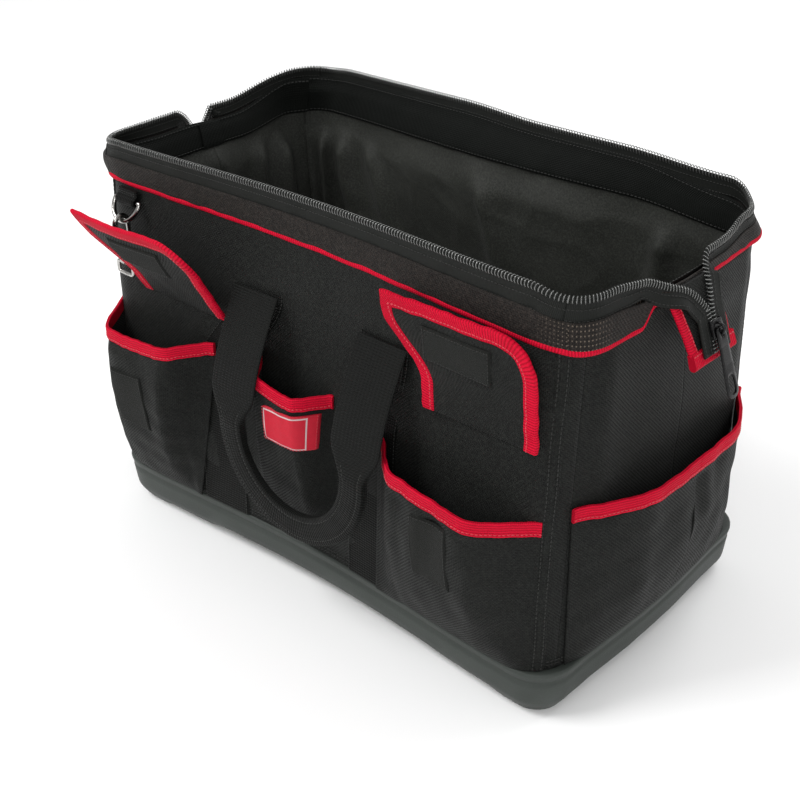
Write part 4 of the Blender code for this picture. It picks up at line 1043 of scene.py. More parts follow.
touch_tape = Finish("touch_tape", roughness=0.95, sheen=0.05, specular=0.12)
fuzz = touch_tape.noise(0.0009, detail=4.0, roughness=0.75)
touch_tape.colour(touch_tape.mix(fuzz * 1.2 - 0.25 + touch_tape.noise(0.01) * 0.2, (0.0010, 0.0012, 0.0010),
                                 (0.0190, 0.0205, 0.0176)))
touch_tape.relief(fuzz, 0.0012)
label_cloth = Finish("label_cloth", "label_red", roughness=0.5, specular=0.3)
label_run, label_rise = label_cloth.run()
label_threads = woven(label_cloth, 0.0005)
side_gap = label_run.sum_of("MINIMUM", label_run, label_width - label_run)
end_gap = label_rise.sum_of("MINIMUM", label_rise, label_height - label_rise)
edge_gap = side_gap.sum_of("MINIMUM", side_gap, end_gap)
line_off = edge_gap.sum_of("ABSOLUTE", edge_gap - label_frame)
label_border = 1.0 - line_off.above(label_line)
# The label's threads are painted lighter on top and darker between: painted shade in the weave.
label_red = label_cloth.mix(label_threads * 0.6 + label_cloth.noise(0.004) * 0.4, (0.36, 0.003, 0.014),
                            (0.64, 0.008, 0.034))
label_cloth.colour(label_cloth.mix(label_border * 0.85, label_red, (0.62, 0.56, 0.56)))
label_cloth.relief(label_threads + label_border * 1.5, 0.00012)


def box_walk(count=60):
    """Once round a square of half size 1, as many places to a side: how far across and how far up."""
    even, level = np.linspace(-1, 1, count), np.ones(count)
    across = np.concatenate([even, level, -even, -level])
    return across, np.roll(across, count)


loop_patch = (patch_top, loop_width, loop_height, touch_tape, black_thread, patch_seam_inset)
patches = {
    "left_loop_patch": ("left_pocket", -0.172, *loop_patch),
    "right_loop_patch": ("right_pocket", 0.148, *loop_patch),
    "front_label": ("centre_pocket", label_x, label_z + label_height / 2, label_width, label_height,
                    label_cloth, red_thread, label_seam_inset),
}
for name, (pocket, middle, top, width, height, finish, thread, inset) in patches.items():
    outline, face, bulge, _, _, seed = pockets[pocket][:6]
    depth = fold_depth * stuffed_share.get(pocket, 1.0)

    def on_pocket(x, z, off):
        """A place off the pocket's cloth and its folds."""
        across, up = share_at(outline, x, z)
        stand = pocket_gap + swell(across, up, bulge)
        fold = depth * folds(across, up, seed, 4) * np.clip(stand / bulge, 0, 1)
        return face(x, z, stand + cloth_thickness + np.maximum(fold, fold * 0.6) + patch_lift + off)

    columns, rows = np.broadcast_arrays(np.linspace(-1, 1, 30), np.linspace(-1, 1, 36)[:, None])
    x, z = middle + width / 2 * columns, top - height / 2 + height / 2 * rows
    curl = 0.0004 * (columns ** 8 + rows ** 8) * ripple(x, z, seed + 30, 0.02)
    rounded = (1 - np.abs(columns) ** 24) * (1 - np.abs(rows) ** 24)
    patch = skin(name + "_sheet", on_pocket(x, z, curl + patch_rise * (rounded - 0.5)), finish,
                 thickness=patch_thickness)
    mount(patch, "front_wall", name)
    across, up = box_walk()
    x, z = middle + (width / 2 - inset) * across, top - height / 2 + (height / 2 - inset) * up
    seam = on_pocket(x, z, patch_rise * 0.5)
    row = stitches(name + "_stitches", seam, on_pocket(x, z, patch_rise * 0.5 + 1.0) - seam, thread,
                   pitch=fine_pitch, thickness=fine_thread)
    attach(row, "front_wall")


# Pocket flaps
# Two flaps are sewn to the front under the mouth: two cloths with a soft filling, bound in red tape on
# three sides, with a strip of hook tape across. The left one stands up and off, the right one leans flat.
flap_width, flap_height, flap_thickness = 0.128, 0.080, 0.0026
flap_notch, flap_corner, sweep_top, sweep_share = 0.032, 0.030, 0.85, 0.60
flap_binding_thickness = 0.0042
flap_hinge_z, flap_hinge_y = 0.216, -0.12737
hook_width, hook_height, hook_top_share, hook_thickness = 0.058, 0.026, 0.80, 0.0012
flap_wave, flap_puff = 0.0013, 0.0014


def flap_left(up):
    """The flap's left edge at a share of its height: it sweeps in to a narrower foot."""
    return -flap_width / 2 + flap_notch * eased((sweep_top - up) / sweep_share)


def flap_rim(inset, count=46):
    """The flap's outline in its own plane, from its left foot over the top to its right foot, as far in
    from the edge as inset."""
    top = flap_height - inset
    up = np.linspace(0, 1, count)
    turn = np.linspace(0, np.pi / 2, 16)[1:]
    radius = flap_corner - inset
    left = joined(flap_left(up * top / flap_height) + inset, top * up)
    level = joined(np.linspace(left[-1, 0], flap_width / 2 - flap_corner, count)[1:], top)
    corner = joined(flap_width / 2 - flap_corner + radius * np.sin(turn),
                    top - radius + radius * np.cos(turn))
    right = joined(flap_width / 2 - inset, np.linspace(top - radius, 0, 21)[1:])
    return np.concatenate([left, level, corner, right])


for word, flap_x, flap_lean, seed in (("left", -0.144, np.radians(30), 310),
                                      ("right", 0.150, np.radians(4), 320)):
    pivot = np.array([flap_x, flap_hinge_y, flap_hinge_z])

    def bend(x, height):
        """How far the flap's face is off its flat plane: a slow wave that is nothing at the hinge."""
        curve = ripple(x, height, seed, 0.12) + 0.5 * ripple(x, height, seed + 1, 0.06)
        return flap_wave * curve * eased(height / 0.03)

    def on_flap(x, height, off):
        """A place on the flap: across it, up from its hinge and off its middle."""
        off = off + bend(x, height)
        y = -height * np.sin(flap_lean) - off * np.cos(flap_lean)
        z = height * np.cos(flap_lean) - off * np.sin(flap_lean)
        return pivot + joined(x, y, z)

    tape_inner = binding_width * 0.92
    up = np.linspace(0.006, 1, 60)[:, None] * (flap_height - tape_inner) / flap_height
    across = np.linspace(0, 1, 80)
    left = flap_left(up) + tape_inner
    inner_corner = flap_corner - tape_inner
    over = np.clip(flap_height * up - (flap_height - flap_corner), 0, inner_corner - 0.0001)
    right = flap_width / 2 - flap_corner + np.sqrt(inner_corner ** 2 - over ** 2)
    x = left + (right - left) * across
    height = np.broadcast_to(up * flap_height, x.shape)
    puff = flap_puff * (1 - (2 * across - 1) ** 4) * (1 - (2 * up * flap_height / (flap_height - tape_inner)
                                                            - 1) ** 4)
    quilt = 0.0005 * ripple(x, height, seed + 2, 0.025)
    off = flap_thickness / 2 + puff * 0.7 - 0.0002 + quilt * (puff / flap_puff)
    back = on_flap(x, height, -np.minimum(off, flap_thickness / 2 + 0.0006))
    body = skin(word + "_flap_cloth", np.concatenate([on_flap(x, height, off), back[::-1]]), black_cloth,
                round_ways=(True, False))
    mount(body, word + "_flap", word + "_flap")

    rim, deep = flap_rim(binding_width - 0.0005), flap_rim(0.0)
    run = run_along(rim)
    inner = on_flap(rim[:, 0], np.clip(rim[:, 1], 0.0005, 1), 0.0)
    outer = on_flap(deep[:, 0], np.clip(deep[:, 1], 0.0005, 1), 0.0)
    wavy = 1 + 0.025 * np.sin(run * 2 * np.pi / 0.013 + 2.0 * ripple(run, run * 0, seed + 6, 0.05))[:, None]
    side_way = (outer - inner) * wavy
    out_way = on_flap(rim[:, 0], rim[:, 1], 1.0) - on_flap(rim[:, 0], rim[:, 1], 0.0)
    lift = 0.00045 * ripple(run, run * 0, seed + 4, 0.014)[:, None] * out_way
    fold_turn = np.linspace(0, np.pi, 7)
    half_thick = flap_binding_thickness * 0.46
    legs = np.array([[0.0, 0.62], [0.03, 0.80], [0.14, 0.92], [0.24, 0.84], [0.45, 0.97], [0.70, 1.0]])
    top_fold = joined(0.86 + 0.14 * np.sin(fold_turn), np.cos(fold_turn))
    profile = np.concatenate([legs, top_fold, legs[::-1] * [1, -1]]) * [1.0, half_thick]
    tape = solid_skin(word + "_flap_binding_tape", carried(inner + lift, side_way, out_way, profile),
                      red_tape, spread=joined(run[:, None], np.append(profile[:, 0], 0) * binding_width))
    mount(tape, word + "_flap", word + "_flap_binding")
    for line, face_side in (("front", 1), ("back", -1)):
        seam = inner + lift + side_way * 0.24 + out_way * face_side * half_thick * 0.86
        row = stitches(f"{word}_flap_{line}_binding_stitches", seam, out_way * face_side, red_thread,
                       pitch=red_pitch)
        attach(row, word + "_flap")

    columns, rows = np.linspace(-1, 1, 40), np.linspace(-1, 1, 20)[:, None]
    hook_middle = flap_height * hook_top_share - hook_height / 2
    hook_off = flap_thickness / 2 + flap_puff * 0.62
    x, height = np.broadcast_arrays(hook_width / 2 * columns, hook_middle + hook_height / 2 * rows)
    edge = (1 - np.abs(columns) ** 30) * (1 - np.abs(rows) ** 16)
    patch = skin(word + "_flap_hook_tape", on_flap(x, height, hook_off + patch_rise * edge), touch_tape,
                 thickness=hook_thickness)
    mount(patch, word + "_flap", word + "_flap_hook_patch")
    across, up = box_walk()
    seam = on_flap((hook_width / 2 - patch_seam_inset) * across,
                   hook_middle + (hook_height / 2 - patch_seam_inset) * up, hook_off + patch_rise)
    row = stitches(word + "_flap_hook_tape_stitches", seam, np.broadcast_to(out_way[0], seam.shape),
                   black_thread, pitch=fine_pitch, thickness=fine_thread)
    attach(row, word + "_flap")


# Sewn straps
# Wide ribbed webbing runs up the wall from the tray and carries the handles. It is sewn down along both
# edges, with a crossed box of stitches near its top.
wide_webbing = webbing_finish("wide_webbing", (0.0004, 0.0005, 0.0004), (0.0042, 0.0048, 0.0038), 0.0021,
                              ribs_along=False, depth=0.00045)
handle_left_x, handle_right_x = -0.050, 0.076
fold_z, strap_lean_share = 0.248, 0.60
box_low, box_high, box_half = 0.205, 0.238, 0.0190
strap_seam_place, strap_pitch, strap_points = 0.90, 0.0032, 90

for word, side in wall_sides():
    for name, low_x, high_x in ((word + "_left_strap", left_strap_x, handle_left_x),
                                (word + "_right_strap", right_strap_x, handle_right_x)):
        def on_strap(place, share, off):
            """A place on the strap: place runs from -1 to 1 across it, and share from its foot up."""
            z = pocket_foot + (fold_z - pocket_foot) * share
            middle = low_x + (high_x - low_x) * eased((share - strap_lean_share) / (1 - strap_lean_share))
            wave = 0.0002 * (1 + ripple(place * 0.02, z, len(name) * 7 + 400, 0.05))
            return off_front(middle + place * strap_width / 2, z, clearance + off + wave)

        columns, share = np.linspace(-1, 1, 24), np.linspace(0, 1, strap_points)
        edge = (1 - np.abs(columns) ** 20) ** 0.5
        rows = on_strap(columns, share[:, None], strap_thickness * edge)
        strap = skin(name + "_webbing", turned(rows, side), wide_webbing)
        mount(strap, word + "_wall", name)
        seams = [joined(place, share) for place in (-strap_seam_place, strap_seam_place)]
        low, high = [(level - pocket_foot) / (fold_z - pocket_foot) for level in (box_low, box_high)]
        wide = box_half / (strap_width / 2)
        corners = np.array([(-wide, low), (wide, low), (wide, high), (-wide, high), (-wide, low),
                            (wide, high), (wide, low), (-wide, high)])
        steps = np.linspace(0, len(corners) - 1, 240)
        seams.append(picked(steps, np.arange(len(corners)), corners))
        for count, seam in enumerate(seams):
            path = on_strap(seam[:, 0], seam[:, 1], strap_thickness + 0.0001)
            row = stitches(f"{name}_stitches_{count}", turned(path, side),
                           np.broadcast_to((0, -side, 0), path.shape), black_thread, pitch=strap_pitch)
            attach(row, word + "_wall")


# Carry handles
# One length of the same webbing per side leaves the top fold of its straps flat, and is folded in half
# lengthways and sewn through where the hand holds it. It hangs down in front of the wall.
handle_drop, grip_depth = 0.098, 0.064
handle_strip, grip_width, grip_thickness = 0.046, 0.023, 0.0070
grip_start, fall_points, bow_points = 0.72, 44, 96
handle_y = -0.1219


def box_ring(turns, power):
    """A ring between a circle and a square of half size 1: cos and sin, both divided by the root of
    |cos|^p + |sin|^p, with p the power."""
    first, second = np.cos(turns), np.sin(turns)
    square = (np.abs(first) ** power + np.abs(second) ** power) ** (-1 / power)
    return first * square, second * square


for word, side, outreach, seed in (("front", 1, 0.033, 510), ("back", -1, 0.038, 520)):
    low = fold_z - handle_drop
    middle, half = (handle_left_x + handle_right_x) / 2, (handle_right_x - handle_left_x) / 2
    fall = np.linspace(0, 1, fall_points)
    turn = np.linspace(0, np.pi, bow_points)
    route_x = np.concatenate([np.full(fall_points, handle_left_x), middle - half * np.cos(turn)[1:-1],
                              np.full(fall_points, handle_right_x)])
    route_z = np.concatenate([fold_z - handle_drop * fall, low - grip_depth * np.sin(turn)[1:-1],
                              (fold_z - handle_drop * fall)[::-1]])
    fallen = (fold_z - route_z) / handle_drop
    stand = outreach * np.sin(np.pi / 2 * np.clip(fallen, 0, 1))
    path = joined(route_x, handle_y - stand, route_z)
    along = unit(np.gradient(path, axis=0))
    flat_along = unit(np.gradient(joined(route_x, 0.0, route_z), axis=0))
    across = unit(np.cross(flat_along, np.array([0, -1.0, 0])))
    out = unit(np.cross(across, along))
    rolled = eased((fallen - grip_start) / (1 - grip_start))[:, None]
    wide = (handle_strip + (grip_width - handle_strip) * rolled) / 2
    thick = (strap_thickness + (grip_thickness - strap_thickness) * rolled) / 2
    run = run_along(path)[:, None]
    around = round_turns(48)[None, :]
    first, second = box_ring(around, 6)
    meeting = np.exp(-((first - 1.0) / 0.03) ** 2) * np.exp(-(second / 0.30) ** 2)
    dimple = 1 - 0.16 * rolled * np.exp(-((np.abs(first) - 0.62) / 0.10) ** 2)
    soft = 1 + 0.05 * ripple(run * np.ones_like(around), around * 0.01, seed, 0.03) * rolled
    groove = 1 - 0.12 * meeting * rolled
    points = (path[:, None] + across[:, None] * (first * wide * groove)[..., None]
              + out[:, None] * (second * thick * dimple * soft)[..., None])
    handle = solid_skin(word + "_handle_webbing", turned(points, side), wide_webbing,
                        spread=joined(np.linspace(0, 1, 49) * 4 * wide, run))
    mount(handle, word + "_handle", word + "_handle")
    gripped = rolled[:, 0] > 0.55
    for line, place in (("inner", -0.62), ("outer", 0.62)):
        for face_word, face_side in (("front", 1), ("back", -1)):
            seam = (path + across * wide * place + out * face_side * thick * 0.86)[gripped]
            row = stitches(f"{word}_handle_{line}_{face_word}_stitches", turned(seam, side),
                           turned(out[gripped] * face_side, side), black_thread, pitch=strap_pitch)
            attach(row, word + "_handle")


# Piping
# A cord wrapped in red tape stands out of the seam between the wall and the mouth panel, all round.
piping_z, piping_radius, piping_girth = 0.299, 0.0025, 0.0157
mouth_turn, mouth_panel_thickness = np.radians(36), 0.0016
panel_low, panel_high, zip_top, coil_radius = 0.3018, 0.3134, 0.330, 0.0023
end_dip, mouth_overlap = 0.0050, 0.05
zip_leaves = {"right_end_front": (0.056, 0.018, 0.014), "right_end_back": (0.020, 0.012, 0.004),
              "left_end_front": (0.033, 0.010, 0.005), "left_end_back": (0.006, 0.004, 0.002)}


def mouth_wall(share, turn, z, out=0.0):
    """A place on the mouth of the front wall, which has no step at its corners."""
    return long_wall(share, turn, z, out, step=0.0)


def mouth_end(reach, turn, z, out=0.0):
    """A place on the mouth of the right end: reach runs along the straight, and turn is the way round
    the corner from the straight."""
    half = wall_half_depth - corner_radius - lean_at(z)
    centre = wall_half_length + flare_at(z) - corner_radius
    radius = corner_radius + out
    belly = belly_at(reach * half, wall_half_depth - corner_radius)
    x = np.where(turn == 0, centre + radius + belly, centre + radius * np.cos(turn))
    y = reach * half + np.sign(reach) * radius * np.sin(turn)
    return joined(x, y, z)


def end_columns(turn, straight_count=50, corner_count=10):
    """Columns of half an end's mouth, from its middle to where the long wall's mouth takes over."""
    arc = np.linspace(0, turn, corner_count)[1:]
    return np.concatenate([np.linspace(0, 1, straight_count), np.ones(len(arc))]), \
        np.concatenate([np.zeros(straight_count), arc])


long_share, long_turn = wall_columns(mouth_turn, 220, 14)
half_reach, half_turn = end_columns(np.pi / 2 - mouth_turn + mouth_overlap)


def mouth_paths():
    """Each run of the mouth: its name, wall, side and hand, and a function that gives its line at a
    height and a distance out. Half an end runs from the middle of the end to its corner."""
    for word, side in wall_sides():
        def line(z, out, side=side):
            return swayed(turned(mouth_wall(long_share, long_turn, z, out), side))
        yield word, word + "_wall", side, 0, line
    for word, side, half, hand, wall in end_halves():
        def line(z, out, side=side, hand=hand):
            return swayed(turned(mouth_end(half_reach * hand, half_turn, z, out), side))
        yield f"{word}_end_{half}", wall, side, hand, line


for number, (name, wall, side, hand, line) in enumerate(mouth_paths()):
    path = line(piping_z, -mouth_panel_thickness / 2)
    out = unit(line(piping_z, 1.0) - line(piping_z, 0.0))
    up = np.broadcast_to([0.0, 0.0, 1.0], path.shape)
    run = run_along(path)
    wave = 0.0003 * ripple(run, run * 0, 600 + number, 0.025)[:, None] * up
    around = round_turns(16)
    ring = joined(np.cos(around), np.sin(around)) * piping_radius
    cord = solid_skin(name + "_piping_cord", carried(path + wave, out, up, ring), red_tape,
                      spread=joined(run[:, None], np.linspace(0, piping_girth, 17)))
    fasten(cord, wall, side, hand, node_of(name, "_piping"))


# Mouth panels
# Over the piping a narrow band of coarse brownish cloth joins the wall to the zip tape. At the front right
# corner it is an open mesh, whose holes are painted as pale dots: painted light that shows through them.
mesh_pitch = 0.0026

mouth_cloth = cloth_finish("mouth_cloth", (0.0030, 0.0024, 0.0020), (0.0300, 0.0240, 0.0200), 0.0014,
                           depth=0.0003)
first, second = mouth_cloth.run()
holes = first.wave(mesh_pitch) * second.wave(mesh_pitch) + mouth_cloth.noise(0.002) * 0.3
open_mesh = mouth_cloth.ramp(holes, 0.75, 1.05)
across, along = mouth_cloth.parts(mouth_cloth.place())[:2]
corner = mouth_cloth.ramp(across, 0.203, 0.230) * mouth_cloth.ramp(along, -0.083, -0.102)
plain = Wire(mouth_cloth, mouth_cloth.shader.inputs["Base Color"].links[0].from_socket)
# Pale dots are painted on the mesh corner: painted light showing through its holes.
mouth_cloth.colour(mouth_cloth.mix(open_mesh * corner, plain, (0.150, 0.120, 0.094)))
panel_height = np.linspace(panel_low - 0.0016, panel_high + 0.0014, 10)[:, None]
for number, (name, wall, side, hand, line) in enumerate(mouth_paths()):
    top = panel_height
    if hand:
        y = np.abs(half_reach * (wall_half_depth - corner_radius))
        dip = end_dip * eased((zip_leaves[name][0] + end_dip - y) / end_dip)
        up = (panel_height - panel_height[0]) / (panel_height[-1] - panel_height[0])
        top = panel_height - dip * up
    columns = np.arange(len(half_reach if hand else long_share)) * 0.002
    rows = line(top, 0.0003 + 0.0003 * ripple(columns, panel_height, 620 + number, 0.02))
    panel = skin(name + "_mouth_band", rows, mouth_cloth, thickness=mouth_panel_thickness)
    panel.modifiers["thickness"].offset = 0.0
    fasten(panel, wall, side, hand, node_of(name, "_mouth_panel"))


# Zip tape and coil
# A long zip runs round the mouth. Its grey-black tape stands over the mouth panel, sewn twice along its
# foot, and each half carries a nylon coil of small loops on its edge. On each end the two halves leave
# the mouth, turn outwards and close into a tail that lies on the tab.
tape_low, coil_pitch, loop_wire, loop_deep = 0.3134, 0.00260, 0.00040, 0.0029
close_pitch, zip_thread, zip_seam_shares = 0.0028, 0.00032, (0.42, 0.86)
tape_finish = webbing_finish("zip_tape", (0.0022, 0.0024, 0.0021), (0.0180, 0.0195, 0.0175), 0.0010,
                             depth=0.00016, slot="zip_coil")
coil_finish = Finish("zip_coil", roughness=0.16, metallic=0.40, specular=0.9)
coil_finish.colour(coil_finish.mix(coil_finish.noise(0.002), (0.030, 0.031, 0.030), (0.210, 0.214, 0.206)))
tape_thickness, end_tape_width, coil_step, strip_step = 0.0011, 0.0120, 0.0008, 0.0024
tab_start, across_way = np.array([0.2444, 0.0, 0.3035]), np.array([0.0, 1.0, 0.0])
tab_along, tab_out = np.array([0.31896, 0.0, -0.94777]), np.array([0.94777, 0.0, 0.31896])
tab_length, tab_thickness = 0.05487, 0.0028
tail_curve, tail_turn_share, mesh_share, tail_start_share = 0.018, 0.65, 0.85, 0.37
tail_shares = {"right": 0.92, "left": 1.36}
tail_off = tab_thickness / 2 + clearance + coil_radius


def smooth_path(path, out, pitch):
    """The same path with its points pitch apart, and its ways out beside them."""
    run = run_along(path)
    spots = np.linspace(0, run[-1], int(run[-1] / pitch) + 1)
    return [picked(spots, run, values) for values in (path, out)]


def zip_line(hand, name):
    """The coil's line on half an end and the way that its tape hangs: along the mouth, then a free curve
    outwards, then down the tail. The curve is a cubic through four guides."""
    leave, first_reach, last_reach = zip_leaves[name]
    tail_share = tail_shares[name.split("_")[0]]
    height, inset = zip_top - coil_radius, mouth_panel_thickness / 2
    reach, turn = end_columns(np.pi / 2 - mouth_turn + mouth_overlap / 2, 60, 10)
    mouth = mouth_end(reach * hand, turn, height, -inset)
    fall = unit(mouth_end(reach * hand, turn, tape_low, -inset) - mouth)
    kept = np.abs(mouth[:, 1]) > leave
    mouth, fall = mouth[kept][::-1], fall[kept][::-1]
    last = mouth_end(hand * leave / (wall_half_depth - corner_radius - lean_at(height)), 0, height, -inset)
    meet = tab_start + tab_along * tab_length * tail_start_share + tab_out * tail_off
    meet = meet + across_way * hand * coil_radius * mesh_share
    guides = np.array([last, last - [0, hand * first_reach, 0],
                       meet - tab_along * tail_curve + [0, hand * last_reach, 0], meet])
    share = np.linspace(0, 1, 40)[:, None]
    curve = ((1 - share) ** 3 * guides[0] + 3 * share * (1 - share) ** 2 * guides[1]
             + 3 * share ** 2 * (1 - share) * guides[2] + share ** 3 * guides[3])
    flat = eased(share / tail_turn_share)
    hang = unit(fall[-1] * (1 - flat) + across_way * hand * flat)
    down = np.linspace(tail_start_share, tail_share, 30)[1:, None]
    tail = tab_start + tab_along * tab_length * down + tab_out * tail_off
    tail = tail + across_way * hand * coil_radius * mesh_share
    path = np.concatenate([mouth, curve[1:], tail])
    ways = np.concatenate([fall, hang[1:], np.broadcast_to(across_way * hand, tail.shape)])
    return path, ways


def coil(name, path, hang, finish, start=0.0):
    """A row of loops round a line: each loop is a small flat ring of wire that stands across the line,
    24 faces each, and leans a little along it as a wound coil does."""
    path, hang = smooth_path(path, hang, coil_step)
    run = run_along(path)
    spots = np.arange(coil_pitch * (0.5 + start), run[-1], coil_pitch)
    place = picked(spots, run, path)
    along = unit(picked(spots + 0.0006, run, path) - picked(spots - 0.0006, run, path))
    down = squared_off(picked(spots, run, hang), along)
    side = np.cross(along, down)
    turn = round_turns(10)
    lean = 0.25 * coil_pitch * np.sin(turn)
    deep = loop_deep - loop_wire
    place = place + down * (loop_deep - coil_radius)
    centre = (place[:, None] + down[:, None] * (np.cos(turn) * deep)[None, :, None]
              + side[:, None] * (np.sin(turn) * (coil_radius - loop_wire) * 0.85)[None, :, None]
              + along[:, None] * lean[None, :, None])
    outward = (down[:, None] * np.cos(turn)[None, :, None] + side[:, None] * np.sin(turn)[None, :, None])
    small = round_turns(4)
    points = (centre[:, :, None] + outward[:, :, None] * (np.cos(small) * loop_wire)[None, None, :, None]
              + along[:, None, None] * (np.sin(small) * loop_wire * 1.25)[None, None, :, None])
    count, rings, sides = points.shape[:3]
    loop, ring, spot = np.meshgrid(np.arange(count), np.arange(rings), np.arange(sides), indexing="ij")
    next_ring, next_spot = (ring + 1) % rings, (spot + 1) % sides

    def number(ring, spot):
        return (loop * rings + ring) * sides + spot
    faces = np.stack([number(ring, spot), number(ring, next_spot), number(next_ring, next_spot),
                      number(next_ring, spot)], -1).reshape(-1, 4)
    return meshed(name, points, faces.tolist(), finish)


def tape_strip(name, path, hang, width, seed):
    """The flat tape under a coil: from the coil's middle down to its sewn foot, a soft wave along it."""
    places = np.linspace(0, 1, len(path))
    path, hang = smooth_path(path, hang, strip_step)
    width = np.interp(np.linspace(0, 1, len(path)), places, width)
    along = unit(np.gradient(path, axis=0))
    down = squared_off(hang, along)
    side = np.cross(along, down)
    run = run_along(path)
    reach = np.linspace(0, 1, 9) * width[:, None]
    wave = 0.0003 * ripple(run[:, None], reach, seed, 0.03)
    rows = path[:, None] + down[:, None] * reach[..., None] + side[:, None] * wave[..., None]
    strip = skin(name, rows, tape_finish, spread=joined(run[:, None], reach), thickness=tape_thickness)
    strip.modifiers["thickness"].offset = 0.0
    seams = []
    for place in zip_seam_shares:
        for face_side in (1, -1):
            off = side * face_side * (tape_thickness / 2 + seam_rise)
            seams.append((path + down * (reach[:, -1:] * place) + off, side * face_side))
    return strip, seams


for word, side in wall_sides():
    height = zip_top - coil_radius
    path = swayed(turned(mouth_wall(long_share, long_turn, height, -mouth_panel_thickness / 2), side))
    foot = swayed(turned(mouth_wall(long_share, long_turn, tape_low, -mouth_panel_thickness / 2), side))
    hang = unit(foot - path)
    strip, seams = tape_strip(word + "_zip_tape", path, hang,
                              np.linalg.norm(foot - path, axis=1) + 0.001, 640 + side)
    mount(strip, word + "_wall", word + "_zip")
    loops = coil(word + "_zip_loops", path, hang, coil_finish)
    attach(loops, word + "_wall")
    for count, (seam, away) in enumerate(seams):
        row = stitches(f"{word}_zip_stitches_{count}", seam, away, black_thread, pitch=close_pitch,
                       thickness=zip_thread)
        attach(row, word + "_wall")

for word, side, half, hand, wall in end_halves():
    path, hang = zip_line(hand, f"{word}_end_{half}")
    foot = swayed(turned(path + hang * (coil_radius + end_tape_width), side))
    path = swayed(turned(path, side))
    hang = unit(foot - path)
    strip, seams = tape_strip(f"{word}_end_zip_tape_{half}", path, hang,
                              np.linalg.norm(foot - path, axis=1), 660 + side * 2 + hand)
    sewn_between(strip, side, hand, wall, word + "_end_zip")
    loops = coil(f"{word}_end_zip_loops_{half}", path, hang, coil_finish, start=0.25 * hand)
    sewn_between(loops, side, hand, wall)
    for count, (seam, away) in enumerate(seams):
        row = stitches(f"{word}_end_zip_stitches_{half}_{count}", seam, away, black_thread,
                       pitch=close_pitch, thickness=zip_thread)
        sewn_between(row, side, hand, wall)


# Mouth gusset
# Where the front half of the zip leaves the right end of the mouth, a corner of open brownish mesh fills
# the gap between its tape and the panel. Light shows through the mesh's holes as small pale dots.
gusset_foot, gusset_sag, gusset_drop = 0.3070, 0.0034, 0.0075
gusset_reach, gusset_thickness = 0.0070, 0.0007

mesh_cloth = Finish("mouth_mesh", "mouth_cloth", roughness=0.7, specular=0.12)
first, second = mesh_cloth.run()
holes = first.wave(mesh_pitch) * second.wave(mesh_pitch)
mesh_cloth.colour(mesh_cloth.mix(mesh_cloth.ramp(holes + mesh_cloth.noise(0.0012) * 0.3, 0.55, 0.95),
                                 (0.0075, 0.0052, 0.0040), (0.110, 0.085, 0.070)))
mesh_cloth.relief(holes, 0.0005)
path, hang = smooth_path(*zip_line(-1, "right_end_front"), 0.0012)
head = path + hang * (coil_radius + gusset_reach) - [0.0008, 0, 0]
near = np.abs(path[:, 1]) < zip_leaves["right_end_front"][0] + end_dip + 0.003
head = head[near & (head[:, 2] > gusset_foot - gusset_drop)]
straight = wall_half_depth - corner_radius - lean_at(gusset_foot)
foot = mouth_end(head[:, 1] / straight, 0.0 * head[:, 1], gusset_foot, -0.0006)
up = np.linspace(0, 1, 14)[:, None, None]
rows = foot + (head - foot) * up + np.array([-1.0, 0, 0]) * gusset_sag * np.sin(np.pi * up)
gusset = skin("right_mouth_gusset", swayed(rows), mesh_cloth, thickness=gusset_thickness)
sewn_between(gusset, 1, -1, "front_wall")


# Zip tab
# The closed tail of the right end lies on a small tapered tab of black cloth, bound in red tape along its
# two long sides and, over their ends, across its foot. It hangs outwards from the mouth.
tab_tops, tab_narrow, tab_side_tape = {-1: 0.038, 1: 0.021}, 0.0235, 0.0085
tab_tape_thickness, tab_tape_girth, tab_seam_rise = 0.0037, 0.020, 0.0016
cuff_width, cuff_over, cuff_lap, cuff_thickness, cuff_girth = 0.0110, 0.0022, 0.0012, 0.0058, 0.026
cuff_seam_rise, tape_seam_share = 0.0025, 0.2
tab_share = np.linspace(-0.02, 1.0, 40)[:, None]
tab_across = np.linspace(-1, 1, 44)


def tab_half(share, hand):
    """Half the tab's width on one hand of its middle, at a share of the way down."""
    return tab_tops[hand] + (tab_narrow - tab_tops[hand]) * np.clip(share, 0, 1)


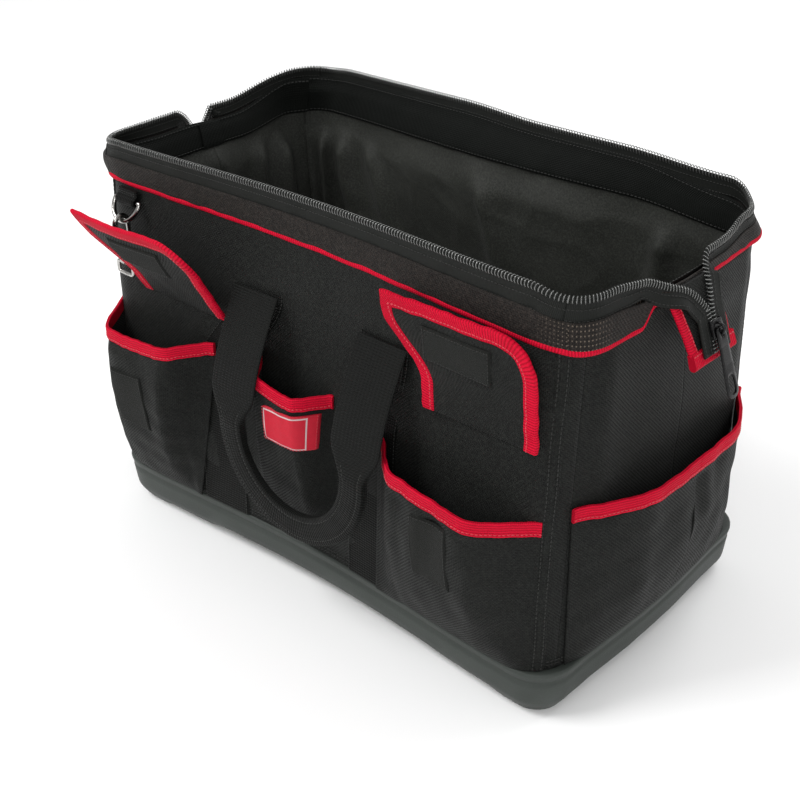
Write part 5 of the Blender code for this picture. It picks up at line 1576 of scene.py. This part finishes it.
inner_half = np.where(tab_across < 0, tab_half(tab_share, -1), tab_half(tab_share, 1)) - tab_side_tape * 0.8
bow = 0.0010 * ripple(tab_share * tab_length * np.ones(44), tab_across * tab_narrow, 700, 0.05)
faces = []
for face_side in (1, -1):
    place = (tab_start + tab_along * tab_length * tab_share[..., None]
             + across_way * (inner_half * tab_across)[..., None])
    puff = (tab_thickness / 2) * (1 - np.abs(tab_across) ** 8) ** 0.5
    faces.append(place + tab_out * (face_side * (puff + 0.0001) - 0.0002 + bow * 0.3)[..., None])
tab = solid_skin("zip_tab_cloth", np.concatenate([faces[0], faces[1][:, ::-1]], 1), black_cloth)
mount(tab, "base", "right_zip_tab")
for hand in (-1, 1):
    share = np.linspace(0.10 if hand < 0 else 0.0, 1.0, 70)
    edge = (tab_start + tab_along * tab_length * share[:, None]
            + across_way * (hand * tab_half(share, hand))[:, None])
    side_way = np.broadcast_to(across_way * hand, edge.shape)
    inner = edge - side_way * tab_side_tape
    out_way = np.broadcast_to(tab_out, edge.shape)
    wave = 0.0003 * ripple(share * tab_length, share * 0, 705 + hand, 0.015)[:, None] * out_way
    profile = tape_profile(tab_side_tape, tab_tape_thickness)
    tape = solid_skin(f"zip_tab_binding_{'front' if hand < 0 else 'back'}",
                      carried(inner + wave, side_way, out_way, profile), red_tape,
                      spread=joined((share * tab_length)[:, None], np.linspace(0, tab_tape_girth, 20)))
    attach(tape, "base")
    for face_side in (1, -1):
        seam = inner + side_way * tab_side_tape * tape_seam_share + out_way * face_side * tab_seam_rise
        row = stitches(f"zip_tab_stitches_{hand}_{face_side}".replace("-", "m"), seam,
                       out_way * face_side, red_thread, pitch=red_pitch)
        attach(row, "base")

cuff_y = np.linspace(-1, 1, 60) * (tab_narrow + cuff_over)
cuff_foot = tab_start + tab_along * (tab_length - cuff_width) + across_way * cuff_y[:, None]
cuff_way = np.broadcast_to(tab_along, cuff_foot.shape)
cuff_out = np.broadcast_to(tab_out, cuff_foot.shape)
cuff_wave = 0.0004 * ripple(cuff_y, cuff_y * 0, 720, 0.02)[:, None]
cuff_profile = tape_profile(cuff_width + cuff_lap, cuff_thickness)
cuff_line = cuff_foot + cuff_wave * cuff_out
cuff = solid_skin("zip_tab_cuff", carried(cuff_line, cuff_way, cuff_out, cuff_profile), red_tape,
                  spread=joined(cuff_y[:, None], np.linspace(0, cuff_girth, 20)))
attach(cuff, "base")
for face_side in (1, -1):
    seam = cuff_line + cuff_way * cuff_width * tape_seam_share + cuff_out * face_side * cuff_seam_rise
    row = stitches(f"zip_tab_cuff_stitches_{'outer' if face_side > 0 else 'inner'}", seam,
                   cuff_out * face_side, red_thread, pitch=red_pitch)
    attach(row, "base")


# Zip slider
# A painted metal slider closes the two coils: two flat cheeks with turned edges over and beside the coil,
# and an arch on its top plate that holds the pull.
slider_share, slider_length, slider_wall, play = 0.63, 0.0130, 0.0012, 0.0005
slider_waist, cheek_inset = 0.0007, 0.0006
arch_half, arch_rise, arch_sink, arch_wire, arch_swell = 0.0040, 0.0044, 0.0004, 0.0009, 0.0003
slider_middle = tab_start + tab_along * tab_length * slider_share + tab_out * tail_off

black_metal = Finish("black_metal", roughness=0.30, specular=0.25, coat=0.06)
chips = black_metal.noise(0.0016, detail=5.0)
black_metal.colour(black_metal.mix(black_metal.ramp(chips, 0.58, 0.72), (0.0030, 0.0030, 0.0032),
                                   (0.0200, 0.0190, 0.0180)))
black_metal.roughness(chips * 0.20 + 0.18)
black_metal.relief(chips, 0.00003)


def on_tail(along, across, out):
    """A place by the slider: along the tail, across it and off the coil's middle, in metres."""
    along, across, out = [np.asarray(value, float)[..., None] for value in (along, across, out)]
    return slider_middle + tab_along * along + across_way * across + tab_out * out


def rounded_slab(half_length, outline, low, high, edge=0.0004, count=40, rings=7):
    """A flat plate in the tail's frame. outline gives its half width along it, and its rim is rounded:
    rings from the middle of the low face, round the rim, to the middle of the high face."""
    first, second = box_ring(round_turns(count), 5)
    rows = [on_tail(first * share * half_length, second * share * outline(first), low + 0 * first)
            for share in (0.0, 0.55)]
    middle, half = (low + high) / 2, (high - low) / 2
    for turn in np.linspace(-np.pi / 2, np.pi / 2, rings):
        inset = edge * (1 - np.cos(turn))
        rows.append(on_tail(first * (half_length - inset), second * (outline(first) - inset),
                            middle + half * np.sin(turn) + 0 * first))
    rows.append(on_tail(first * 0.55 * half_length, second * 0.55 * outline(first), high + 0 * first))
    rows.append(on_tail(first * 1e-4, second * 1e-4, high + 0 * first))
    return np.array(rows)


def tube(name, path, radius, across, finish, closed=False, sides=16):
    """A round wire along a path that stays square to one direction. Its ends are rounded."""
    path = np.asarray(path, float)
    if closed:
        along = unit(np.roll(path, -1, 0) - np.roll(path, 1, 0))
    else:
        along = unit(np.gradient(path, axis=0))
    across = squared_off(np.broadcast_to(unit(np.asarray(across, float)), path.shape), along)
    other = np.cross(along, across)
    size = np.broadcast_to(radius, len(path))
    if not closed:
        turn = np.linspace(0, np.pi / 2, 6)[1:]
        path = np.concatenate([path[:1] - along[:1] * (np.sin(turn) * size[0])[::-1, None], path,
                               path[-1:] + along[-1:] * (np.sin(turn) * size[-1])[:, None]])
        across = np.concatenate([np.repeat(across[:1], 5, 0), across, np.repeat(across[-1:], 5, 0)])
        other = np.concatenate([np.repeat(other[:1], 5, 0), other, np.repeat(other[-1:], 5, 0)])
        size = np.concatenate([(np.cos(turn) * size[0])[::-1] + 1e-6, size, np.cos(turn) * size[-1] + 1e-6])
    around = round_turns(sides)
    grid = (path[:, None] + across[:, None] * (np.cos(around) * size[:, None])[..., None]
            + other[:, None] * (np.sin(around) * size[:, None])[..., None])
    return skin(name, grid, finish, round_ways=(closed, True), caps=not closed)


def slider_outline(place):
    """Half the slider's width along it: broad shoulders where the coils part, and a waist at its foot."""
    return 2 * coil_radius + play + slider_wall - slider_waist * eased((place + 0.2) / 1.2)


top_low = coil_radius + play
plate = solid_skin("zip_slider_top_plate", rounded_slab(slider_length / 2, slider_outline, top_low,
                                                        top_low + slider_wall), black_metal)
mount(plate, "zip_slider", "zip_slider")
for word, hand in (("front", -1), ("back", 1)):
    share = np.linspace(-0.98, 0.98, 30)
    edge = hand * (slider_outline(share) - cheek_inset)
    cheek_low = coil_radius / 2 + clearance
    drop = top_low + slider_wall * 0.6 - cheek_low
    profile = np.array([[-0.5, 0.0], [-0.5, 0.75], [-0.42, 0.93], [-0.2, 1.0], [0.2, 1.0], [0.42, 0.93],
                        [0.5, 0.75], [0.5, 0.0], [0.35, -0.06], [-0.35, -0.06]]) * [slider_wall, drop]
    foot = on_tail(share * slider_length / 2, edge, share * 0 + cheek_low)
    side_way, out_way = np.broadcast_to(across_way, foot.shape), np.broadcast_to(tab_out, foot.shape)
    cheek = solid_skin(f"zip_slider_{word}_cheek", carried(foot, side_way, out_way, profile), black_metal)
    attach(cheek, "zip_slider")
turn = np.linspace(0, np.pi, 40)
arch_high = top_low + slider_wall - arch_sink + (arch_rise + arch_sink) * np.sin(turn)
arch = tube("zip_slider_arch", on_tail(arch_half * np.cos(turn), turn * 0, arch_high),
            arch_wire + arch_swell * np.sin(turn), across_way, black_metal)
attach(arch, "zip_slider")


# Zip pull
# A long flat metal tab hangs on the slider's arch: rounded edges, a small eye for the arch, an oval hole
# near its free end and a raised rim round it.
pull_length, pull_width, pull_top_width, pull_thickness, pull_bar = 0.0500, 0.0140, 0.0105, 0.0015, 0.0018
eye_length, eye_wide, hole_length, hole_wide, hole_rim = 0.0052, 0.0038, 0.0135, 0.0080, 0.0028
split_share, rim_rise, head_round = 0.46, 0.22, 0.0014
pull_out = top_low + slider_wall + clearance + np.hypot(pull_bar, pull_thickness) / 2
pull_foot = pull_length - pull_bar / 2


def pull_half(along):
    """Half the pull's width along it: it widens a little to its foot, which is a half round."""
    plain = (pull_top_width + (pull_width - pull_top_width) * np.clip(along / pull_foot, 0, 1)) / 2
    foot = np.clip((along - (pull_foot - pull_width / 2)) / (pull_width / 2), 0, 1)
    head = np.clip((head_round - (along + pull_bar / 2)) / head_round, 0, 1)
    return plain * np.sqrt(np.clip(1 - foot ** 2.4, 0, 1)) * (1 - 0.25 * head ** 2)


def ring_plate(low_end, high_end, hole_low, hole_high, hole_half, count=72):
    """Half of the pull's outline and its hole, both as closed rings of points with the same turns."""
    middle, half = (hole_low + hole_high) / 2, (hole_high - hole_low) / 2
    first, second = box_ring(round_turns(count), 3)
    inner = joined(middle + half * first, hole_half * second)
    first, second = box_ring(round_turns(count), 9)
    along = middle + np.where(first > 0, high_end - middle, middle - low_end) * first
    return joined(along, pull_half(along) * np.clip(second, -1, 1)), inner


def pull_part(name, outer, inner, rim):
    """A flat ring between an outer and an inner outline, with rounded edges and a raised inner rim. Its
    section is a closed run of points: share from the inner to the outer outline, and height."""
    half = pull_thickness / 2
    section = [(0.0, 0.55), (0.06, 0.9 + rim), (0.18, 1.0 + rim), (0.34, 1.0), (0.80, 0.96), (0.93, 0.82),
               (1.0, 0.35), (1.0, -0.35), (0.93, -0.82), (0.80, -0.96), (0.34, -1.0), (0.18, -1.0 - rim),
               (0.06, -0.9 - rim), (0.0, -0.55)]
    rows = []
    for share, level in section:
        ring = inner + (outer - inner) * share
        rows.append(on_tail(ring[:, 0], ring[:, 1], pull_out + half * level + 0 * ring[:, 0]))
    piece = skin(name, rows, black_metal, round_ways=(True, True))
    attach(piece, "zip_pull")
    return piece


split = pull_foot * split_share
hole_middle = pull_foot - hole_rim - hole_length / 2
outer, inner = ring_plate(split, pull_foot, hole_middle - hole_length / 2, hole_middle + hole_length / 2,
                          hole_wide / 2)
lower = pull_part("zip_pull_ring", outer, inner, rim_rise)
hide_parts("zip_pull")
outer, inner = ring_plate(-pull_bar / 2, split * 0.62, pull_bar / 2, pull_bar / 2 + eye_length, eye_wide / 2)
pull_part("zip_pull_eye", outer, inner, 0.0)
share = np.linspace(split * 0.55, split * 1.12, 24)
first, second = box_ring(round_turns(24), 8)
rows = on_tail(share[:, None] + 0 * first, pull_half(share)[:, None] * first,
               pull_out + pull_thickness / 2 * 0.98 * second + 0 * share[:, None])
shank = solid_skin("zip_pull_shank", rows, black_metal)
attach(shank, "zip_pull")


# D-rings and their loops
# On two opposite corners a short loop of webbing is sewn into the piping seam and holds a bright D-ring
# of bent wire: a straight bar in the loop, and a bow below it. The front ring stands off with its hook.
ring_wire, ring_inner, ring_depth = 0.0018, 0.0260, 0.0150
ring_place = np.array([-0.19, -0.12649, 0.2852])
loop_half, loop_thickness, loop_top = 0.0115, 0.0016, 0.2959
ring_leans, ring_play, loop_seams = {"front": np.radians(30), "back": 0.0}, 0.0005, (0.55, 0.72)

nickel = Finish("nickel", roughness=0.16, metallic=1.0, coat=0.1)
smear = nickel.noise(0.004, detail=4.0)
pits = nickel.noise(0.0007, detail=2.0)
nickel.colour(nickel.mix(nickel.ramp(smear, 0.35, 0.75), (0.46, 0.45, 0.43), (0.24, 0.23, 0.22)))
nickel.roughness(smear * 0.22 + 0.07)
nickel.relief(pits, 0.00004)

for word, side in wall_sides():
    radius = ring_wire + ring_play + loop_thickness / 2
    turn = np.linspace(0, np.pi, 24)
    under = joined(0.0, np.cos(turn) * radius, -np.sin(turn) * radius)
    rise = np.linspace(0, 1, 20)[1:, None]
    height = loop_top - ring_place[2] - loop_thickness
    front_y = -radius + (2 * radius - loop_thickness * 1.3) * eased((rise - 0.12) / 0.5)
    front = np.concatenate([rise * 0, front_y, rise * height], 1)
    back = np.concatenate([rise * 0, radius + 0 * rise, height * rise[::-1]], 1)
    path = np.concatenate([back, under, front]) + ring_place
    along = unit(np.gradient(path, axis=0))
    across = np.broadcast_to([1.0, 0, 0], path.shape)
    out = np.cross(along, across)
    columns = np.linspace(-1, 1, 18)
    edge = loop_thickness / 2 * (1 - np.abs(columns) ** 12) ** 0.5
    profile = joined(columns * loop_half, edge)
    profile = np.concatenate([profile, (profile * [1, -1])[::-1][1:-1]])
    spread = joined(np.append(profile[:, 0], profile[0, 0]), run_along(path)[:, None])
    loop = solid_skin(word + "_ring_loop_webbing", turned(carried(path, across, out, profile), side),
                      wide_webbing, spread=spread)
    mount(loop, word + "_wall", word + "_d_ring_loop")
    for level in loop_seams:
        seam = ring_place + joined(np.linspace(-0.85, 0.85, 30) * loop_half, radius - loop_thickness * 1.85,
                                   height * level)
        row = stitches(f"{word}_ring_loop_stitches_{int(level * 100)}", turned(seam, side),
                       np.broadcast_to([0, -side, 0], seam.shape), black_thread, pitch=close_pitch)
        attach(row, word + "_wall")

    half = ring_inner / 2 + ring_wire
    down = np.array([0, -np.sin(ring_leans[word]), -np.cos(ring_leans[word])])
    bar = np.linspace(-half * 0.985, half * 0.985, 20)[1:-1]
    straight = ring_place + joined(bar, 0.0, 0.0)
    turn = np.linspace(0, np.pi, 60)
    bow = (ring_place + joined(half * np.cos(turn), 0.0, 0.0)
           + down * ((ring_depth + ring_wire) * np.sin(turn) ** 0.85)[:, None])
    ring = tube(word + "_ring_wire", turned(np.concatenate([straight, bow]), side), ring_wire,
                turned(np.cross([1.0, 0, 0], down), side), nickel, closed=True, sides=18)
    mount(ring, word + "_d_ring", word + "_d_ring")


# Snap hook and gate
# A cast hook hangs on the front ring: a bow that its gate closes, a collar and a turned barrel on which
# the flat eye for a strap swivels. The gate is a sprung wire with a small knurled thumb piece.
hook_wire, hook_inner_width, hook_inner_length, gate_share = 0.0020, 0.0090, 0.0160, 0.55
gate_bow, gate_knurl, knurl_turns = 0.0003, 0.08, 60
barrel_radius, barrel_length = 0.0042, 0.0130
eye_bar, eye_across, eye_drop, gate_wire, gate_gap = 0.0016, 0.0180, 0.0094, 0.0016, 0.0005
hook_place = np.array([-0.19, -0.13489, 0.27065])
hook_half = hook_inner_width / 2 + hook_wire
hook_top = hook_place + [0, 0, ring_wire + ring_play - hook_inner_width / 2]

guides = [(hook_half, -hook_inner_length * gate_share)]
guides += [(hook_half * np.cos(turn), hook_half * np.sin(turn)) for turn in np.linspace(0, np.pi, 13)]
guides += [(-hook_half, -hook_inner_length / 2), (-hook_half, -hook_inner_length),
           (-hook_half / 2, -hook_inner_length - hook_half), (hook_half / 3, -hook_inner_length - hook_half)]
guides = np.array(guides)
run = run_along(guides)
fine = np.linspace(0, run[-1], 90)
line = picked(fine, run, guides)
for _ in range(6):
    line[1:-1] = (line[:-2] + 2 * line[1:-1] + line[2:]) / 4
path = hook_top + joined(0.0, line[:, 0], line[:, 1])
size = hook_wire * (0.82 + 0.18 * eased(fine / 0.010)) * (1 + 0.10 * eased((fine - run[-1] * 0.6) / 0.01))
hook = tube("snap_hook_bow", path, np.minimum(size, hook_wire * 1.05), [1, 0, 0], nickel, sides=18)
mount(hook, "snap_hook", "snap_hook")

barrel_top = hook_top[2] - hook_inner_length - hook_half + hook_wire / 2
rings = [(0.0, 0.30), (0.0, 0.62), (0.05, 0.72), (0.09, 0.74), (0.11, 0.95), (0.16, 1.0), (0.30, 1.0),
         (0.34, 0.86), (0.38, 0.80), (0.42, 0.86), (0.46, 1.0), (0.80, 1.0), (0.86, 0.92), (0.90, 0.75),
         (0.97, 0.66), (1.0, 0.45)]
around = round_turns(32)
rows = [joined(hook_top[0] + np.cos(around) * barrel_radius * wide,
               hook_top[1] + np.sin(around) * barrel_radius * wide, barrel_top - barrel_length * level)
        for level, wide in rings]
barrel = solid_skin("snap_hook_barrel", rows[::-1], nickel)
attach(barrel, "snap_hook")
eye_top = barrel_top - barrel_length + hook_wire / 2
first, second = box_ring(round_turns(80), 7)
eye_path = joined(hook_top[0] + first * eye_across / 2, hook_top[1], eye_top + (second - 1) * eye_drop / 2)
eye = tube("snap_hook_eye", eye_path, eye_bar, [0, 1, 0], nickel, closed=True)
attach(eye, "snap_hook")

gate_low = hook_top + [0, hook_half, -hook_inner_length - hook_wire]
gate_high = hook_top + [0, hook_half, -hook_inner_length * gate_share - gate_gap]
share = np.linspace(0, 1, 26)[:, None]
gate_path = gate_low + (gate_high - gate_low) * share + np.array([0, gate_bow, 0]) * np.sin(np.pi * share)
knurl = gate_wire * (1 + gate_knurl * np.sin(share[:, 0] * knurl_turns) * (share[:, 0] > 0.3)
                     * (share[:, 0] < 0.75))
gate = tube("snap_gate_wire", gate_path, knurl * 0.95, [1, 0, 0], nickel, sides=14)
mount(gate, "snap_gate", "snap_hook_gate")
